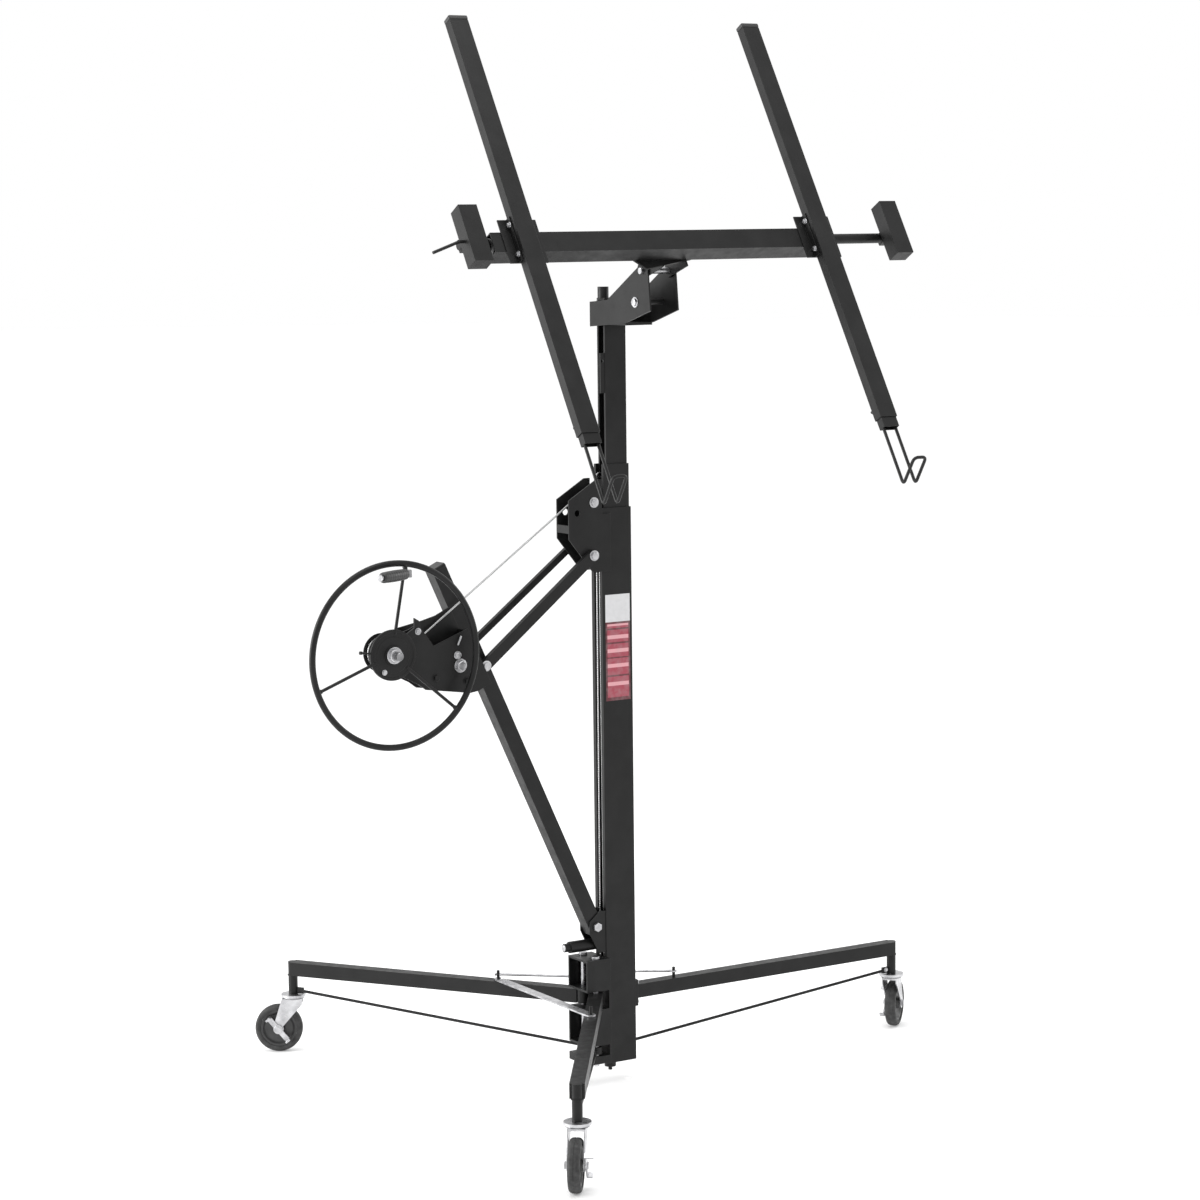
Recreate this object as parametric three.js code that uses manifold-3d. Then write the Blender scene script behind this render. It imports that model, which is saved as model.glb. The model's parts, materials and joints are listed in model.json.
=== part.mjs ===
// Drywall lift: a folding tripod on casters, a three-stage mast, a hand winch on a leaning
// tube, and a tilting cradle for a sheet of board. Millimetres, +Z up, fixed leg along +X.
import * as THREE from 'three';
import { mergeVertices } from 'three/addons/utils/BufferGeometryUtils.js';
import Module from 'manifold-3d';

const wasm = await Module();
wasm.setup();

// ---------------------------------------------------------------- driving dimensions
const GAP = 0.3;                 // clearance between touching pieces
const DEG = Math.PI / 180;

// Casters: 127 mm (5 in) wheels on swivel forks.
const WHEEL_R = 63.5;
const TYRE_WIDTH = 30;
const TRAIL = 40;                // swivel axis to axle
const CASTER_TOP = 156;          // underside of the leg's stem tube
const FORK_HALF = TYRE_WIDTH / 2 + 3;
const FORK_PLATE = 3;
const AXLE_R = 6;

// Tripod.
const LEG_SIZE = 36;
const LEG_TOP = 244;
const TUBE_WALL = 2.5;
const FIXED_LEG_REACH = 888;     // mast centre to the fixed leg's caster
const SIDE_CASTER = { x: -565, y: 724 };
const STEM_R = 12.5;
const LEG_PIN = { x: -80, y: 30, r: 7 };
const ROD_R = 4;                 // tension rods under the legs
const ROD_HUB_Z = 94;
const POST = { x0: -115, y: 46, z0: 60, z1: 332, wall: 5 };
const PEG = { r: 4, height: 26, along: 241 };
const LOCK_PEG_X = 178;

// Mast: three C channels, each sliding in the next, open towards -X.
const MAST_FOOT_Z = 51;
const SECTION_LENGTH = 1433;
const INNER_LENGTH = 1400;
const OUTER = { x0: -44, x1: 44, y: 26, wall: 3, slot: 24, z: MAST_FOOT_Z };
const MIDDLE = { x0: -35.3, x1: 40.7, y: 22, wall: 2.5, slot: 28, z: 1593 - SECTION_LENGTH };
const INNER = { x0: -24, x1: 37.9, y: 18, wall: 2.5, slot: 24, z: 2004 - INNER_LENGTH };

// Winch tube: leans away from the mast and is stayed by two braces.
const FOOT = { x: -71, z: 413 };
const TUBE_LEAN = 24.8 * DEG;
const TUBE_SIZE = 40;
const TUBE_LENGTH = 1049;
const NEAR_BRACE = { side: -1, along: 774, x: -79, z: 1368, width: 28, thick: 14, lean: 3.5 };
const FAR_BRACE = { side: 1, along: 808, x: -92, z: 1390, width: 16, thick: 12, lean: 1.7 };
const BRACKET_PLATE = 4;         // thickness of the winch and pulley bracket plates

// Winch: crank wheel, shaft and drum on one axis.
const SHAFT = { off: -242, along: 950, r: 10 };
const WINCH_Y = { near: -78, far: -26 };
const DRUM_Y = [-68, -46];
const CABLE_R = 2.5;
const GROOVE_GAP = 0.8;          // cable to the bottom of a pulley's groove
const DRUM_CABLE_R = 38;         // centre line of the cable wound on the drum
const RIM = { r: 222, tube: 8, y: -120 };
const HUB_DISC = { r: 62, y0: -110, y1: -102 };
const SPOKE_ANGLES = [82, 199, 319];
const GRIP = { length: 96, r: 14, fold: 24 };

const TOP_PULLEY = { x: -69, y: -6, z: 1500, r: 30.8 };
const LOWER_SHEAVE = { x: -39.6, y: 0, z: 186, r: 9.5 };
const UPPER_SHEAVE = { x: -28.4, y: 7, z: 1560, r: 9.8 };

// Cradle, drawn in its own frame: origin on the tilt pin, +Y up the slope, +Z out of it.
const TILT = 59 * DEG;
const TILT_PIN = { y: -223, z: 2079, r: 8 };
const CROSSBAR = { x0: -525, x1: 455, size: 53, v: 9, w: 105, wall: 3 };
const CRADLE_X = -20;
const ARM_SPREAD = 425;
const ARM = { width: 50, thick: 27, low: -511, high: 609 };
const SADDLE = { width: 104, length: 116, thick: 3 };
const OUTRIGGER = { r: 12.5, v: 19, left: -582, right: 636, bar: 150, width: 50 };
const HOOK = { wire: 4, spacing: 36, reach: 178, jaw: 70 };

// ---------------------------------------------------------------- finishes
const blackPaint = { color: 0x2a2a2b, roughness: 0.5, metalness: 0.3 };
const zinc = { color: 0xc6c8ca, roughness: 0.35, metalness: 0.9 };
const rubber = { color: 0x1b1b1c, roughness: 0.85, metalness: 0 };
const blackPlastic = { color: 0x171718, roughness: 0.55, metalness: 0 };
const greyPlastic = { color: 0x8d9092, roughness: 0.6, metalness: 0 };

// ---------------------------------------------------------------- solids
function toSolid(geometry) {
  const bare = geometry.clone();
  bare.deleteAttribute('normal');
  bare.deleteAttribute('uv');
  const merged = mergeVertices(bare, 1e-4);
  return new wasm.Manifold(new wasm.Mesh({
    numProp: 3,
    vertProperties: new Float32Array(merged.attributes.position.array),
    triVerts: new Uint32Array(merged.index.array),
  }));
}

function toGeometry(solid) {
  const result = solid.getMesh();
  const geometry = new THREE.BufferGeometry();
  const positions = new THREE.BufferAttribute(new Float32Array(result.vertProperties), 3);
  geometry.setAttribute('position', positions);
  geometry.setIndex(new THREE.BufferAttribute(new Uint32Array(result.triVerts), 1));
  geometry.computeVertexNormals();
  return geometry;
}

function join(...geometries) {
  return toGeometry(geometries.map(toSolid).reduce((sum, next) => sum.add(next)));
}

function cut(geometry, ...tools) {
  return toGeometry(tools.map(toSolid).reduce((rest, tool) => rest.subtract(tool), toSolid(geometry)));
}

function box(x0, x1, y0, y1, z0, z1) {
  const geometry = new THREE.BoxGeometry(x1 - x0, y1 - y0, z1 - z0);
  return geometry.translate((x0 + x1) / 2, (y0 + y1) / 2, (z0 + z1) / 2);
}

// A cylinder along one axis between two coordinates; a and b are its other two coordinates.
function cylinder(radius, axis, from, to, a, b, sides = 14) {
  const geometry = new THREE.CylinderGeometry(radius, radius, Math.abs(to - from), sides);
  const middle = (from + to) / 2;
  if (axis === 'x') return geometry.rotateZ(Math.PI / 2).translate(middle, a, b);
  if (axis === 'y') return geometry.translate(a, middle, b);
  return geometry.rotateX(Math.PI / 2).translate(a, b, middle);
}

// A straight round rod between two points.
function rod(from, to, radius, sides = 10) {
  const start = new THREE.Vector3(...from);
  const end = new THREE.Vector3(...to);
  const direction = end.clone().sub(start);
  const geometry = new THREE.CylinderGeometry(radius, radius, direction.length(), sides);
  const turn = new THREE.Quaternion();
  turn.setFromUnitVectors(new THREE.Vector3(0, 1, 0), direction.normalize());
  const middle = start.add(end).multiplyScalar(0.5);
  return geometry.applyQuaternion(turn).translate(middle.x, middle.y, middle.z);
}

// A route through given points, with one ring of the swept wire at each point.
class Route extends THREE.Curve {
  constructor(points) {
    super();
    this.points = points;
  }

  getPoint(t) {
    const place = Math.min(Math.max(t, 0), 1) * (this.points.length - 1);
    const index = Math.min(Math.floor(place), this.points.length - 2);
    return this.points[index].clone().lerp(this.points[index + 1], place - index);
  }

  getUtoTmapping(u) {
    return u;
  }
}

function wireAlong(points, radius, sides) {
  return new THREE.ExtrudeGeometry(new THREE.Shape(circlePoints(radius, sides)), {
    steps: points.length - 1,
    extrudePath: new Route(points),
    bevelEnabled: false,
  });
}

// A round wire through corner points; each inner corner is rounded over the bend distance.
function bentWire(corners, radius, bend, sides = 8, bendSteps = 4) {
  const given = corners.map((corner) => new THREE.Vector3(...corner));
  const points = [given[0]];
  for (let i = 1; i < given.length - 1; i += 1) {
    const before = given[i - 1].clone().sub(given[i]).setLength(bend).add(given[i]);
    const after = given[i + 1].clone().sub(given[i]).setLength(bend).add(given[i]);
    const curve = new THREE.QuadraticBezierCurve3(before, given[i], after);
    points.push(...curve.getPoints(bendSteps));
  }
  points.push(given[given.length - 1]);
  return wireAlong(points, radius, sides);
}

function outline(points) {
  return new THREE.Shape(points.map(([x, y]) => new THREE.Vector2(x, y)));
}

function circlePoints(radius, sides, x = 0, y = 0) {
  return Array.from({ length: sides }, (_, i) => {
    const angle = (i / sides) * 2 * Math.PI;
    return new THREE.Vector2(x + radius * Math.cos(angle), y + radius * Math.sin(angle));
  });
}

// A many-sided hole that stays clear of a round pin of the given radius.
function roundHole(x, y, radius) {
  const sides = 12;
  return new THREE.Path(circlePoints(radius / Math.cos(Math.PI / sides), sides, x, y));
}

function extrude(shape, depth, curveSegments = 6) {
  return new THREE.ExtrudeGeometry(shape, { depth, bevelEnabled: false, curveSegments });
}

// A flat plate whose outline is given in X and Z, between two Y coordinates.
function plateXZ(shape, y0, y1) {
  return extrude(shape, y1 - y0).rotateX(Math.PI / 2).translate(0, y1, 0);
}

// A flat plate whose outline is given in Y and Z, between two X coordinates.
function plateYZ(shape, x0, x1) {
  return extrude(shape, x1 - x0).rotateX(Math.PI / 2).rotateZ(Math.PI / 2).translate(x0, 0, 0);
}

// A body turned about the Y axis; profile points are [radius, y], on the axis or closed.
function turned(profile, segments) {
  const points = profile.map(([radius, y]) => new THREE.Vector2(radius, y));
  if (profile[0][0] > 0) points.push(points[0].clone());
  return new THREE.LatheGeometry(points, segments);
}

// Two coordinates beside a plane, in rising order: from offset to offset + size on that side.
function span(side, offset, size) {
  const inner = side * offset;
  const outer = side * (offset + size);
  return [Math.min(inner, outer), Math.max(inner, outer)];
}

const lift = new THREE.Group();

function addMesh(name, geometry, finish, parent = lift) {
  const piece = new THREE.Mesh(geometry, new THREE.MeshStandardMaterial(finish));
  piece.name = name;
  parent.add(piece);
}

// ---------------------------------------------------------------- mast
function channel({ x0, x1, y, wall, slot, z }, length) {
  const lip = slot / 2;
  const section = outline([
    [x0, -y], [x1, -y], [x1, y], [x0, y],
    [x0, lip], [x0 + wall, lip], [x0 + wall, y - wall],
    [x1 - wall, y - wall], [x1 - wall, wall - y],
    [x0 + wall, wall - y], [x0 + wall, -lip], [x0, -lip],
  ]);
  return extrude(section, length).translate(0, 0, z);
}

// Closes the outer channel's lower end and carries the centre boss and a drain stub.
function mastFoot() {
  const { x0, x1, y, wall } = OUTER;
  const inset = wall + GAP;
  const plug = box(x0 + inset, x1 - inset, inset - y, y - inset, MAST_FOOT_Z, MAST_FOOT_Z + 12);
  const boss = cylinder(15, 'z', MAST_FOOT_Z - 14, MAST_FOOT_Z + 1, -20, 0);
  const stub = cylinder(5, 'z', MAST_FOOT_Z - 24, MAST_FOOT_Z - 13, -20, 0, 12);
  return join(plug, boss, stub);
}

// The middle channel carries the pins of both cable sheaves: one on a cross plate near its
// foot, the other between two lugs inside its lips.
function middleMast() {
  const { x0, wall } = MIDDLE;
  const inLip = x0 + wall - 1;
  const [low, high] = [LOWER_SHEAVE.z - 14, LOWER_SHEAVE.z + 14];
  const plate = box(inLip, inLip + 5, -18, 18, low, high);
  const lowerPin = cylinder(2.5, 'x', LOWER_SHEAVE.x - 4, inLip + 4, 0, LOWER_SHEAVE.z, 10);
  const upperPin = cylinder(2.5, 'y', -15, 16, UPPER_SHEAVE.x, UPPER_SHEAVE.z, 10);
  const lugs = [-1, 1].map((side) => (
    box(inLip, INNER.x0 - 1, ...span(side, 14.5, 3.5), UPPER_SHEAVE.z - 8, UPPER_SHEAVE.z + 8)
  ));
  return join(channel(MIDDLE, SECTION_LENGTH), plate, lowerPin, upperPin, ...lugs);
}

// The inner channel carries a lug on its open side and the cable's anchor near its foot.
function innerMast() {
  const lugX = INNER.x0 - 13;
  const lug = cut(
    box(lugX, INNER.x0 + 1, -17, -12.5, 1772, 1872),
    cylinder(4, 'y', -20, 0, lugX + 6, 1852),
  );
  const anchor = box(-21, -10, -INNER.y + 1, INNER.y - 1, INNER.z + 8, INNER.z + 18);
  return join(channel(INNER, INNER_LENGTH), lug, anchor);
}

// Side plates astride the outer mast that carry the top pulley and the braces' upper pins.
function pulleyBracket() {
  const inside = OUTER.y + GAP;
  const side = outline([
    [-20, 1324], [-74, 1324], [-143, 1410], [-143, 1508], [-62, 1557],
    [OUTER.x0 - 1, 1557], [OUTER.x0 - 1, 1470], [-20, 1470],
  ]);
  side.holes.push(roundHole(-118, 1475, 8));
  const plates = [-1, 1].map((sign) => plateXZ(side, ...span(sign, inside, BRACKET_PLATE)));
  const reach = inside + BRACKET_PLATE;
  const strap = box(-143, -139, -reach, reach, 1425, 1445);
  const axle = cylinder(5, 'y', -reach - 5, reach + 5, TOP_PULLEY.x, TOP_PULLEY.z, 16);
  const pins = [NEAR_BRACE, FAR_BRACE].map(({ side: sign, x, z }) => (
    cylinder(5, 'y', sign * (reach - 1), sign * (reach + 20), x, z, 12)
  ));
  return join(...plates, strap, axle, ...pins);
}

function pulley({ r }, axleR, halfWidth, segments) {
  const groove = r - CABLE_R - GROOVE_GAP;
  const floor = CABLE_R + 0.2;
  const flange = groove + 5;
  return turned([
    [axleR + GAP, -halfWidth], [flange, -halfWidth], [groove, -floor],
    [groove, floor], [flange, halfWidth], [axleR + GAP, halfWidth],
  ], segments);
}

// ---------------------------------------------------------------- tripod
const LEG_WINDOW = [LEG_TOP - LEG_SIZE - 6, LEG_TOP + 6];
const ROD_WINDOW = [ROD_HUB_Z - 14, ROD_HUB_Z + 14];

// The hinge post behind the mast: three shelves hold the folding legs' two pins.
function hingePost() {
  const { x0, y, z0, z1, wall } = POST;
  const x1 = OUTER.x0 - GAP;
  const windows = [LEG_WINDOW, ROD_WINDOW].map(([low, high]) => (
    box(x0 - 1, x1 - wall, -y - 1, y + 1, low, high)
  ));
  const pockets = [[LEG_WINDOW[1] + wall, z1 - wall], [ROD_WINDOW[1] + wall, LEG_WINDOW[0] - wall]]
    .map(([low, high]) => box(x0 - 1, x1 - wall, wall - y, y - wall, low, high));
  const bores = [-1, 1].map((side) => (
    cylinder(LEG_PIN.r + GAP, 'z', z0 - 1, z1 + 1, LEG_PIN.x, side * LEG_PIN.y)
  ));
  return cut(box(x0, x1, -y, y, z0, z1), ...windows, ...pockets, ...bores);
}

function legPin(side) {
  const shank = cylinder(LEG_PIN.r, 'z', POST.z0 - 8, POST.z1 + 1, LEG_PIN.x, side * LEG_PIN.y);
  const head = cylinder(11, 'z', POST.z1 + GAP, POST.z1 + 7, LEG_PIN.x, side * LEG_PIN.y, 12);
  return join(shank, head);
}

// A square leg tube along +X with the caster's stem tube closing its outer end.
function legTube(start, stemX) {
  const half = LEG_SIZE / 2;
  const inner = half - TUBE_WALL;
  const low = LEG_TOP - LEG_SIZE;
  const bar = box(start, stemX, -half, half, low, LEG_TOP);
  const bore = box(start + 50, stemX - 40, -inner, inner, low + TUBE_WALL, LEG_TOP - TUBE_WALL);
  const drain = cylinder(4, 'z', low - 1, low + TUBE_WALL + 1, start + 80, 0, 12);
  const stem = cylinder(STEM_R, 'z', CASTER_TOP, LEG_TOP, stemX, 0, 24);
  const socket = cylinder(6, 'z', CASTER_TOP - 1, CASTER_TOP + 56, stemX, 0, 14);
  return cut(join(bar, stem), bore, drain, socket);
}

function peg(x, y) {
  return cylinder(PEG.r, 'z', LEG_TOP - 1, LEG_TOP + PEG.height, x, y, 14);
}

function fixedLeg() {
  const face = OUTER.x1 + GAP;
  const flange = box(face, face + 8, -25, 25, LEG_TOP - LEG_SIZE - 18, LEG_TOP + 14);
  return join(legTube(face + 4, FIXED_LEG_REACH), flange, peg(LOCK_PEG_X, 0));
}

const SIDE_LEG_LENGTH = Math.hypot(SIDE_CASTER.x - LEG_PIN.x, SIDE_CASTER.y - LEG_PIN.y);
const SIDE_LEG_ANGLE = Math.atan2(SIDE_CASTER.y - LEG_PIN.y, SIDE_CASTER.x - LEG_PIN.x);

// A folding leg along +X, with its hinge eye at the origin.
function foldingLeg() {
  const low = LEG_TOP - LEG_SIZE;
  const eye = cylinder(19, 'z', low, LEG_TOP, 0, 0, 24);
  const hole = cylinder(LEG_PIN.r + GAP, 'z', low - 1, LEG_TOP + 1, 0, 0);
  return cut(join(legTube(12, SIDE_LEG_LENGTH), eye, peg(PEG.along, 0)), hole);
}

// The tension rod from the hub up to the foot of the caster's stem tube.
function tensionRod(hubX, stemX) {
  const tip = stemX - STEM_R - ROD_R - 1;
  const tab = box(tip - 14, stemX - STEM_R - GAP, -3, 3, CASTER_TOP + 2, CASTER_TOP + 18);
  return join(rod([hubX, 0, ROD_HUB_Z], [tip - 6, 0, CASTER_TOP + 9], ROD_R), tab);
}

function foldingLegRod() {
  const eye = cylinder(15, 'z', ROD_HUB_Z - 9, ROD_HUB_Z + 9, 0, 0, 20);
  const hole = cylinder(LEG_PIN.r + GAP, 'z', ROD_HUB_Z - 10, ROD_HUB_Z + 10, 0, 0);
  return cut(join(tensionRod(8, SIDE_LEG_LENGTH), eye), hole);
}

function fixedLegRod() {
  const face = OUTER.x1 + GAP;
  const foot = box(face, face + 5, -10, 10, ROD_HUB_Z - 14, ROD_HUB_Z + 14);
  return join(tensionRod(face + 2, FIXED_LEG_REACH), foot);
}

function pegPoint(side) {
  return [
    LEG_PIN.x + PEG.along * Math.cos(SIDE_LEG_ANGLE),
    side * (LEG_PIN.y + PEG.along * Math.sin(SIDE_LEG_ANGLE)),
  ];
}

// The flat bar that holds the two folding legs apart: an eye on the front leg's peg and an
// open hook on the left leg's.
function spreaderBar() {
  const [x, y] = pegPoint(1);
  const z = LEG_TOP + 1;
  const ends = [-1, 1].map((side) => cylinder(12, 'z', z, z + 4, x, side * y));
  const hole = PEG.r + 2 * GAP;
  const holes = [-1, 1].map((side) => cylinder(hole, 'z', z - 1, z + 5, x, side * y));
  const mouth = box(x, x + 13, y - hole - 4, y + hole, z - 1, z + 5);
  return cut(join(box(x - 12, x + 12, -y, y, z, z + 4), ...ends), ...holes, mouth);
}

// The cranked rod that passes behind the mast and keeps the left leg open.
function lockRod() {
  const [x, y] = pegPoint(1);
  const z = LEG_TOP + 15;
  const eye = (ex, ey, radius, reach) => cylinder(radius, 'z', z - reach, z + reach, ex, ey);
  const bar = bentWire([[x + 6, y - 1, z], [-30, 64, z], [84, 60, z], [LOCK_PEG_X - 4, 5, z]], 3.5, 20);
  const hole = PEG.r + 2 * GAP;
  const mouth = box(0, 12, -hole, hole, z - 5, z + 5).rotateZ(237 * DEG).translate(x, y, 0);
  return cut(
    join(bar, eye(x, y, 10, 3.5), eye(LOCK_PEG_X, 0, 9, 3.5)),
    eye(x, y, hole, 5),
    eye(LOCK_PEG_X, 0, hole, 5),
    mouth,
  );
}

// ---------------------------------------------------------------- casters
// Drawn with the swivel axis at the origin and the wheel trailing along +X.
function casterFork() {
  const side = new THREE.Shape();
  side.moveTo(-24, 145);
  side.lineTo(30, 145);
  side.lineTo(TRAIL + 13, WHEEL_R + 8);
  side.absarc(TRAIL, WHEEL_R, 14, 30 * DEG, -210 * DEG, true);
  side.lineTo(-24, 130);
  side.holes.push(roundHole(TRAIL, WHEEL_R, AXLE_R + GAP));
  const plates = [-1, 1].map((sign) => plateXZ(side, ...span(sign, FORK_HALF, FORK_PLATE)));
  const outside = FORK_HALF + FORK_PLATE;
  const crown = box(-24, 30, -outside, outside, 140, 145);
  const race = cylinder(26, 'z', 144, 150, 0, 0, 20);
  const topPlate = cylinder(33, 'z', 149, CASTER_TOP - GAP, 0, 0, 20);
  const stem = cylinder(5.6, 'z', CASTER_TOP - 2, CASTER_TOP + 48, 0, 0, 10);
  return join(...plates, crown, race, topPlate, stem);
}

const RIM_OUTER = 49;            // where the caster's hub meets its tyre

function casterTyre() {
  const half = TYRE_WIDTH / 2;
  return turned([
    [RIM_OUTER, -half], [WHEEL_R - 4, -half], [WHEEL_R, 7 - half],
    [WHEEL_R, half - 7], [WHEEL_R - 4, half], [RIM_OUTER, half],
  ], 32).translate(TRAIL, 0, WHEEL_R);
}

function casterRim() {
  const outer = RIM_OUTER - GAP;
  return turned([
    [AXLE_R + GAP, -16], [15, -16], [17, -5], [42, -5], [44, -12], [outer, -12],
    [outer, 12], [44, 12], [42, 5], [17, 5], [15, 16], [AXLE_R + GAP, 16],
  ], 20).translate(TRAIL, 0, WHEEL_R);
}

function casterAxle() {
  const outside = FORK_HALF + FORK_PLATE + GAP;
  return turned([
    [0, -outside - 6], [9, -outside - 6], [9, -outside], [AXLE_R, -outside],
    [AXLE_R, outside + 8], [0, outside + 8],
  ], 16).translate(TRAIL, 0, WHEEL_R);
}

// The brake lever turns on the axle's long end, with a toe tab at each end.
function casterBrake() {
  const [y0, y1] = span(1, FORK_HALF + FORK_PLATE + 0.5, 4);
  const bar = box(-42, 42, y0, y1, -7, 7);
  const tabs = [box(-42, -37, y0, y0 + 14, -7, 7), box(37, 42, y0, y0 + 22, -7, 7)];
  const boss = cylinder(12, 'y', y0, y1 + 1, 0, 0);
  const hole = cylinder(AXLE_R + GAP, 'y', y0 - 1, y1 + 3, 0, 0);
  return cut(join(bar, ...tabs, boss), hole).rotateY(-50 * DEG).translate(TRAIL, 0, WHEEL_R);
}

function addCaster(name, x, y, heading) {
  const caster = new THREE.Group();
  caster.position.set(x, y, 0);
  caster.rotation.z = heading * DEG;
  lift.add(caster);
  addMesh(`${name}_caster_fork`, casterFork(), zinc, caster);
  addMesh(`${name}_caster_tyre`, casterTyre(), rubber, caster);
  addMesh(`${name}_caster_rim`, casterRim(), greyPlastic, caster);
  addMesh(`${name}_caster_axle`, casterAxle(), zinc, caster);
  addMesh(`${name}_caster_brake`, casterBrake(), zinc, caster);
}

// ---------------------------------------------------------------- winch
// Drawn in the tube's own frame: the foot pivot is the origin and +Z runs up the tube.
const TUBE_HALF = TUBE_SIZE / 2;
const BRACE_SIDE = OUTER.y + GAP + BRACKET_PLATE + 1;

function winchTube() {
  const inner = TUBE_HALF - TUBE_WALL;
  const bar = box(-TUBE_HALF, TUBE_HALF, -TUBE_HALF, TUBE_HALF, -16, TUBE_LENGTH);
  const bore = box(-inner, inner, -inner, inner, 30, TUBE_LENGTH + 1);
  const pivotHole = cylinder(7 + GAP, 'y', -TUBE_HALF - 1, TUBE_HALF + 1, 0, 0);
  const pins = [NEAR_BRACE, FAR_BRACE].flatMap(({ side, along, thick }) => [
    cylinder(9, 'y', side * (TUBE_HALF - 1), side * (BRACE_SIDE - GAP), 0, along, 18),
    cylinder(5, 'y', side * (TUBE_HALF - 4), side * (BRACE_SIDE + thick + 4), 0, along, 12),
  ]);
  return join(cut(bar, bore, pivotHole), ...pins);
}

// Two ears behind the mast that hold the winch tube's foot, over a spring plunger's socket.
function footBracket() {
  const ear = outline([
    [OUTER.x0 - GAP, 345], [OUTER.x0 - GAP, 452], [-62, 452], [-92, 428], [-92, 398], [-66, 345],
  ]);
  ear.holes.push(roundHole(FOOT.x, FOOT.z, 7 + GAP));
  const ears = [-1, 1].map((sign) => plateXZ(ear, ...span(sign, TUBE_HALF + 0.5, 3.5)));
  const back = box(OUTER.x0 - 4, OUTER.x0 - GAP, -24, 24, 345, 372);
  const socket = cylinder(15, 'x', -140, OUTER.x0 - 1, 0, 364, 20);
  const plunger = cylinder(11, 'x', -155, -139, 0, 364, 18);
  return join(...ears, back, socket, plunger);
}

function footPin() {
  const reach = TUBE_HALF + 4 + GAP;
  const shank = cylinder(7, 'y', -reach - 2, reach + 8, FOOT.x, FOOT.z);
  const head = cylinder(12, 'y', -reach - 8, -reach, FOOT.x, FOOT.z, 6);
  return join(shank, head);
}

const BRACKET_TOP = {
  near: [[-TUBE_HALF - GAP, 896], [-122, 904], [-134, 962], [-142, 974], [-165, 974]],
  far: [[-TUBE_HALF - GAP, 951], [-65, 951], [-102, 958], [-165, 974]],
};

// A side plate of the winch bracket. The near one is cut low beside the cable, and keeps an
// ear for the pawl.
function bracketSide(topEdge) {
  const side = new THREE.Shape();
  side.moveTo(-TUBE_HALF - GAP, 742);
  topEdge.forEach(([x, z]) => side.lineTo(x, z));
  side.lineTo(SHAFT.off + 14, SHAFT.along + 34);
  side.absarc(SHAFT.off, SHAFT.along, 36, 70 * DEG, 225 * DEG, false);
  side.lineTo(-200, 840);
  side.lineTo(-188, 818);
  side.lineTo(-83, 749);
  side.lineTo(-60, 742);
  side.holes.push(roundHole(SHAFT.off, SHAFT.along, SHAFT.r + GAP));
  return side;
}

const PAWL = { x: -150, z: 962 };
const RATCHET_Y = [-90, -84];

// Two side plates beside the tube, tied by a back strap on the tube's face and two stays.
function winchBracket() {
  const { near, far } = WINCH_Y;
  const web = -TUBE_HALF - GAP;
  const plates = [
    plateXZ(bracketSide(BRACKET_TOP.near), near, near + BRACKET_PLATE),
    plateXZ(bracketSide(BRACKET_TOP.far), far - BRACKET_PLATE, far),
  ];
  const back = box(web - 4, web, near, TUBE_HALF, 742, 890);
  const stays = [[-78, 780], [-150, 830]].map(([x, z]) => (
    cylinder(7, 'y', near + 1, far - 1, x, z, 14)
  ));
  const pawlPin = cylinder(4, 'y', RATCHET_Y[0] - 5, near + 1, PAWL.x, PAWL.z, 12);
  return join(...plates, back, ...stays, pawlPin);
}

const RATCHET = { teeth: 14, r: 46, depth: 7 };

// Shaft, drum and ratchet wheel turn as one welded piece.
function drum() {
  const core = DRUM_CABLE_R - CABLE_R - GROOVE_GAP;
  const flange = DRUM_CABLE_R + 9;
  const body = turned([
    [0, -146], [SHAFT.r, -146], [SHAFT.r, DRUM_Y[0] - 4], [flange, DRUM_Y[0] - 4],
    [flange, DRUM_Y[0]], [core, DRUM_Y[0]], [core, DRUM_Y[1]], [flange, DRUM_Y[1]],
    [flange, DRUM_Y[1] + 4], [SHAFT.r, DRUM_Y[1] + 4], [SHAFT.r, -18], [0, -18],
  ], 24);
  const { teeth, r, depth } = RATCHET;
  const tips = Array.from({ length: 2 * teeth }, (_, i) => {
    const angle = ((i + (i % 2) * 0.6) / (2 * teeth)) * 2 * Math.PI;
    const radius = i % 2 === 0 ? r : r - depth;
    return [radius * Math.cos(angle), radius * Math.sin(angle)];
  });
  return join(body, plateXZ(outline(tips), ...RATCHET_Y)).translate(SHAFT.off, 0, SHAFT.along);
}

// The pawl rides on the ratchet wheel, with a thumb tab that stands above the bracket.
function pawl() {
  const shape = outline([
    [-12, -8], [10, -9], [14, 22], [6, 34], [-4, 12], [-38, 8], [-45, 0], [-40, -8],
  ]);
  shape.holes.push(roundHole(0, 0, 4 + GAP));
  return plateXZ(shape, ...RATCHET_Y).translate(PAWL.x, 0, PAWL.z);
}

// Unit direction, in the leaning frame, of an angle measured in the upright X-Z plane.
function wheelDirection(angle) {
  const leaned = angle * DEG - TUBE_LEAN;
  return [Math.cos(leaned), Math.sin(leaned)];
}

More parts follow.
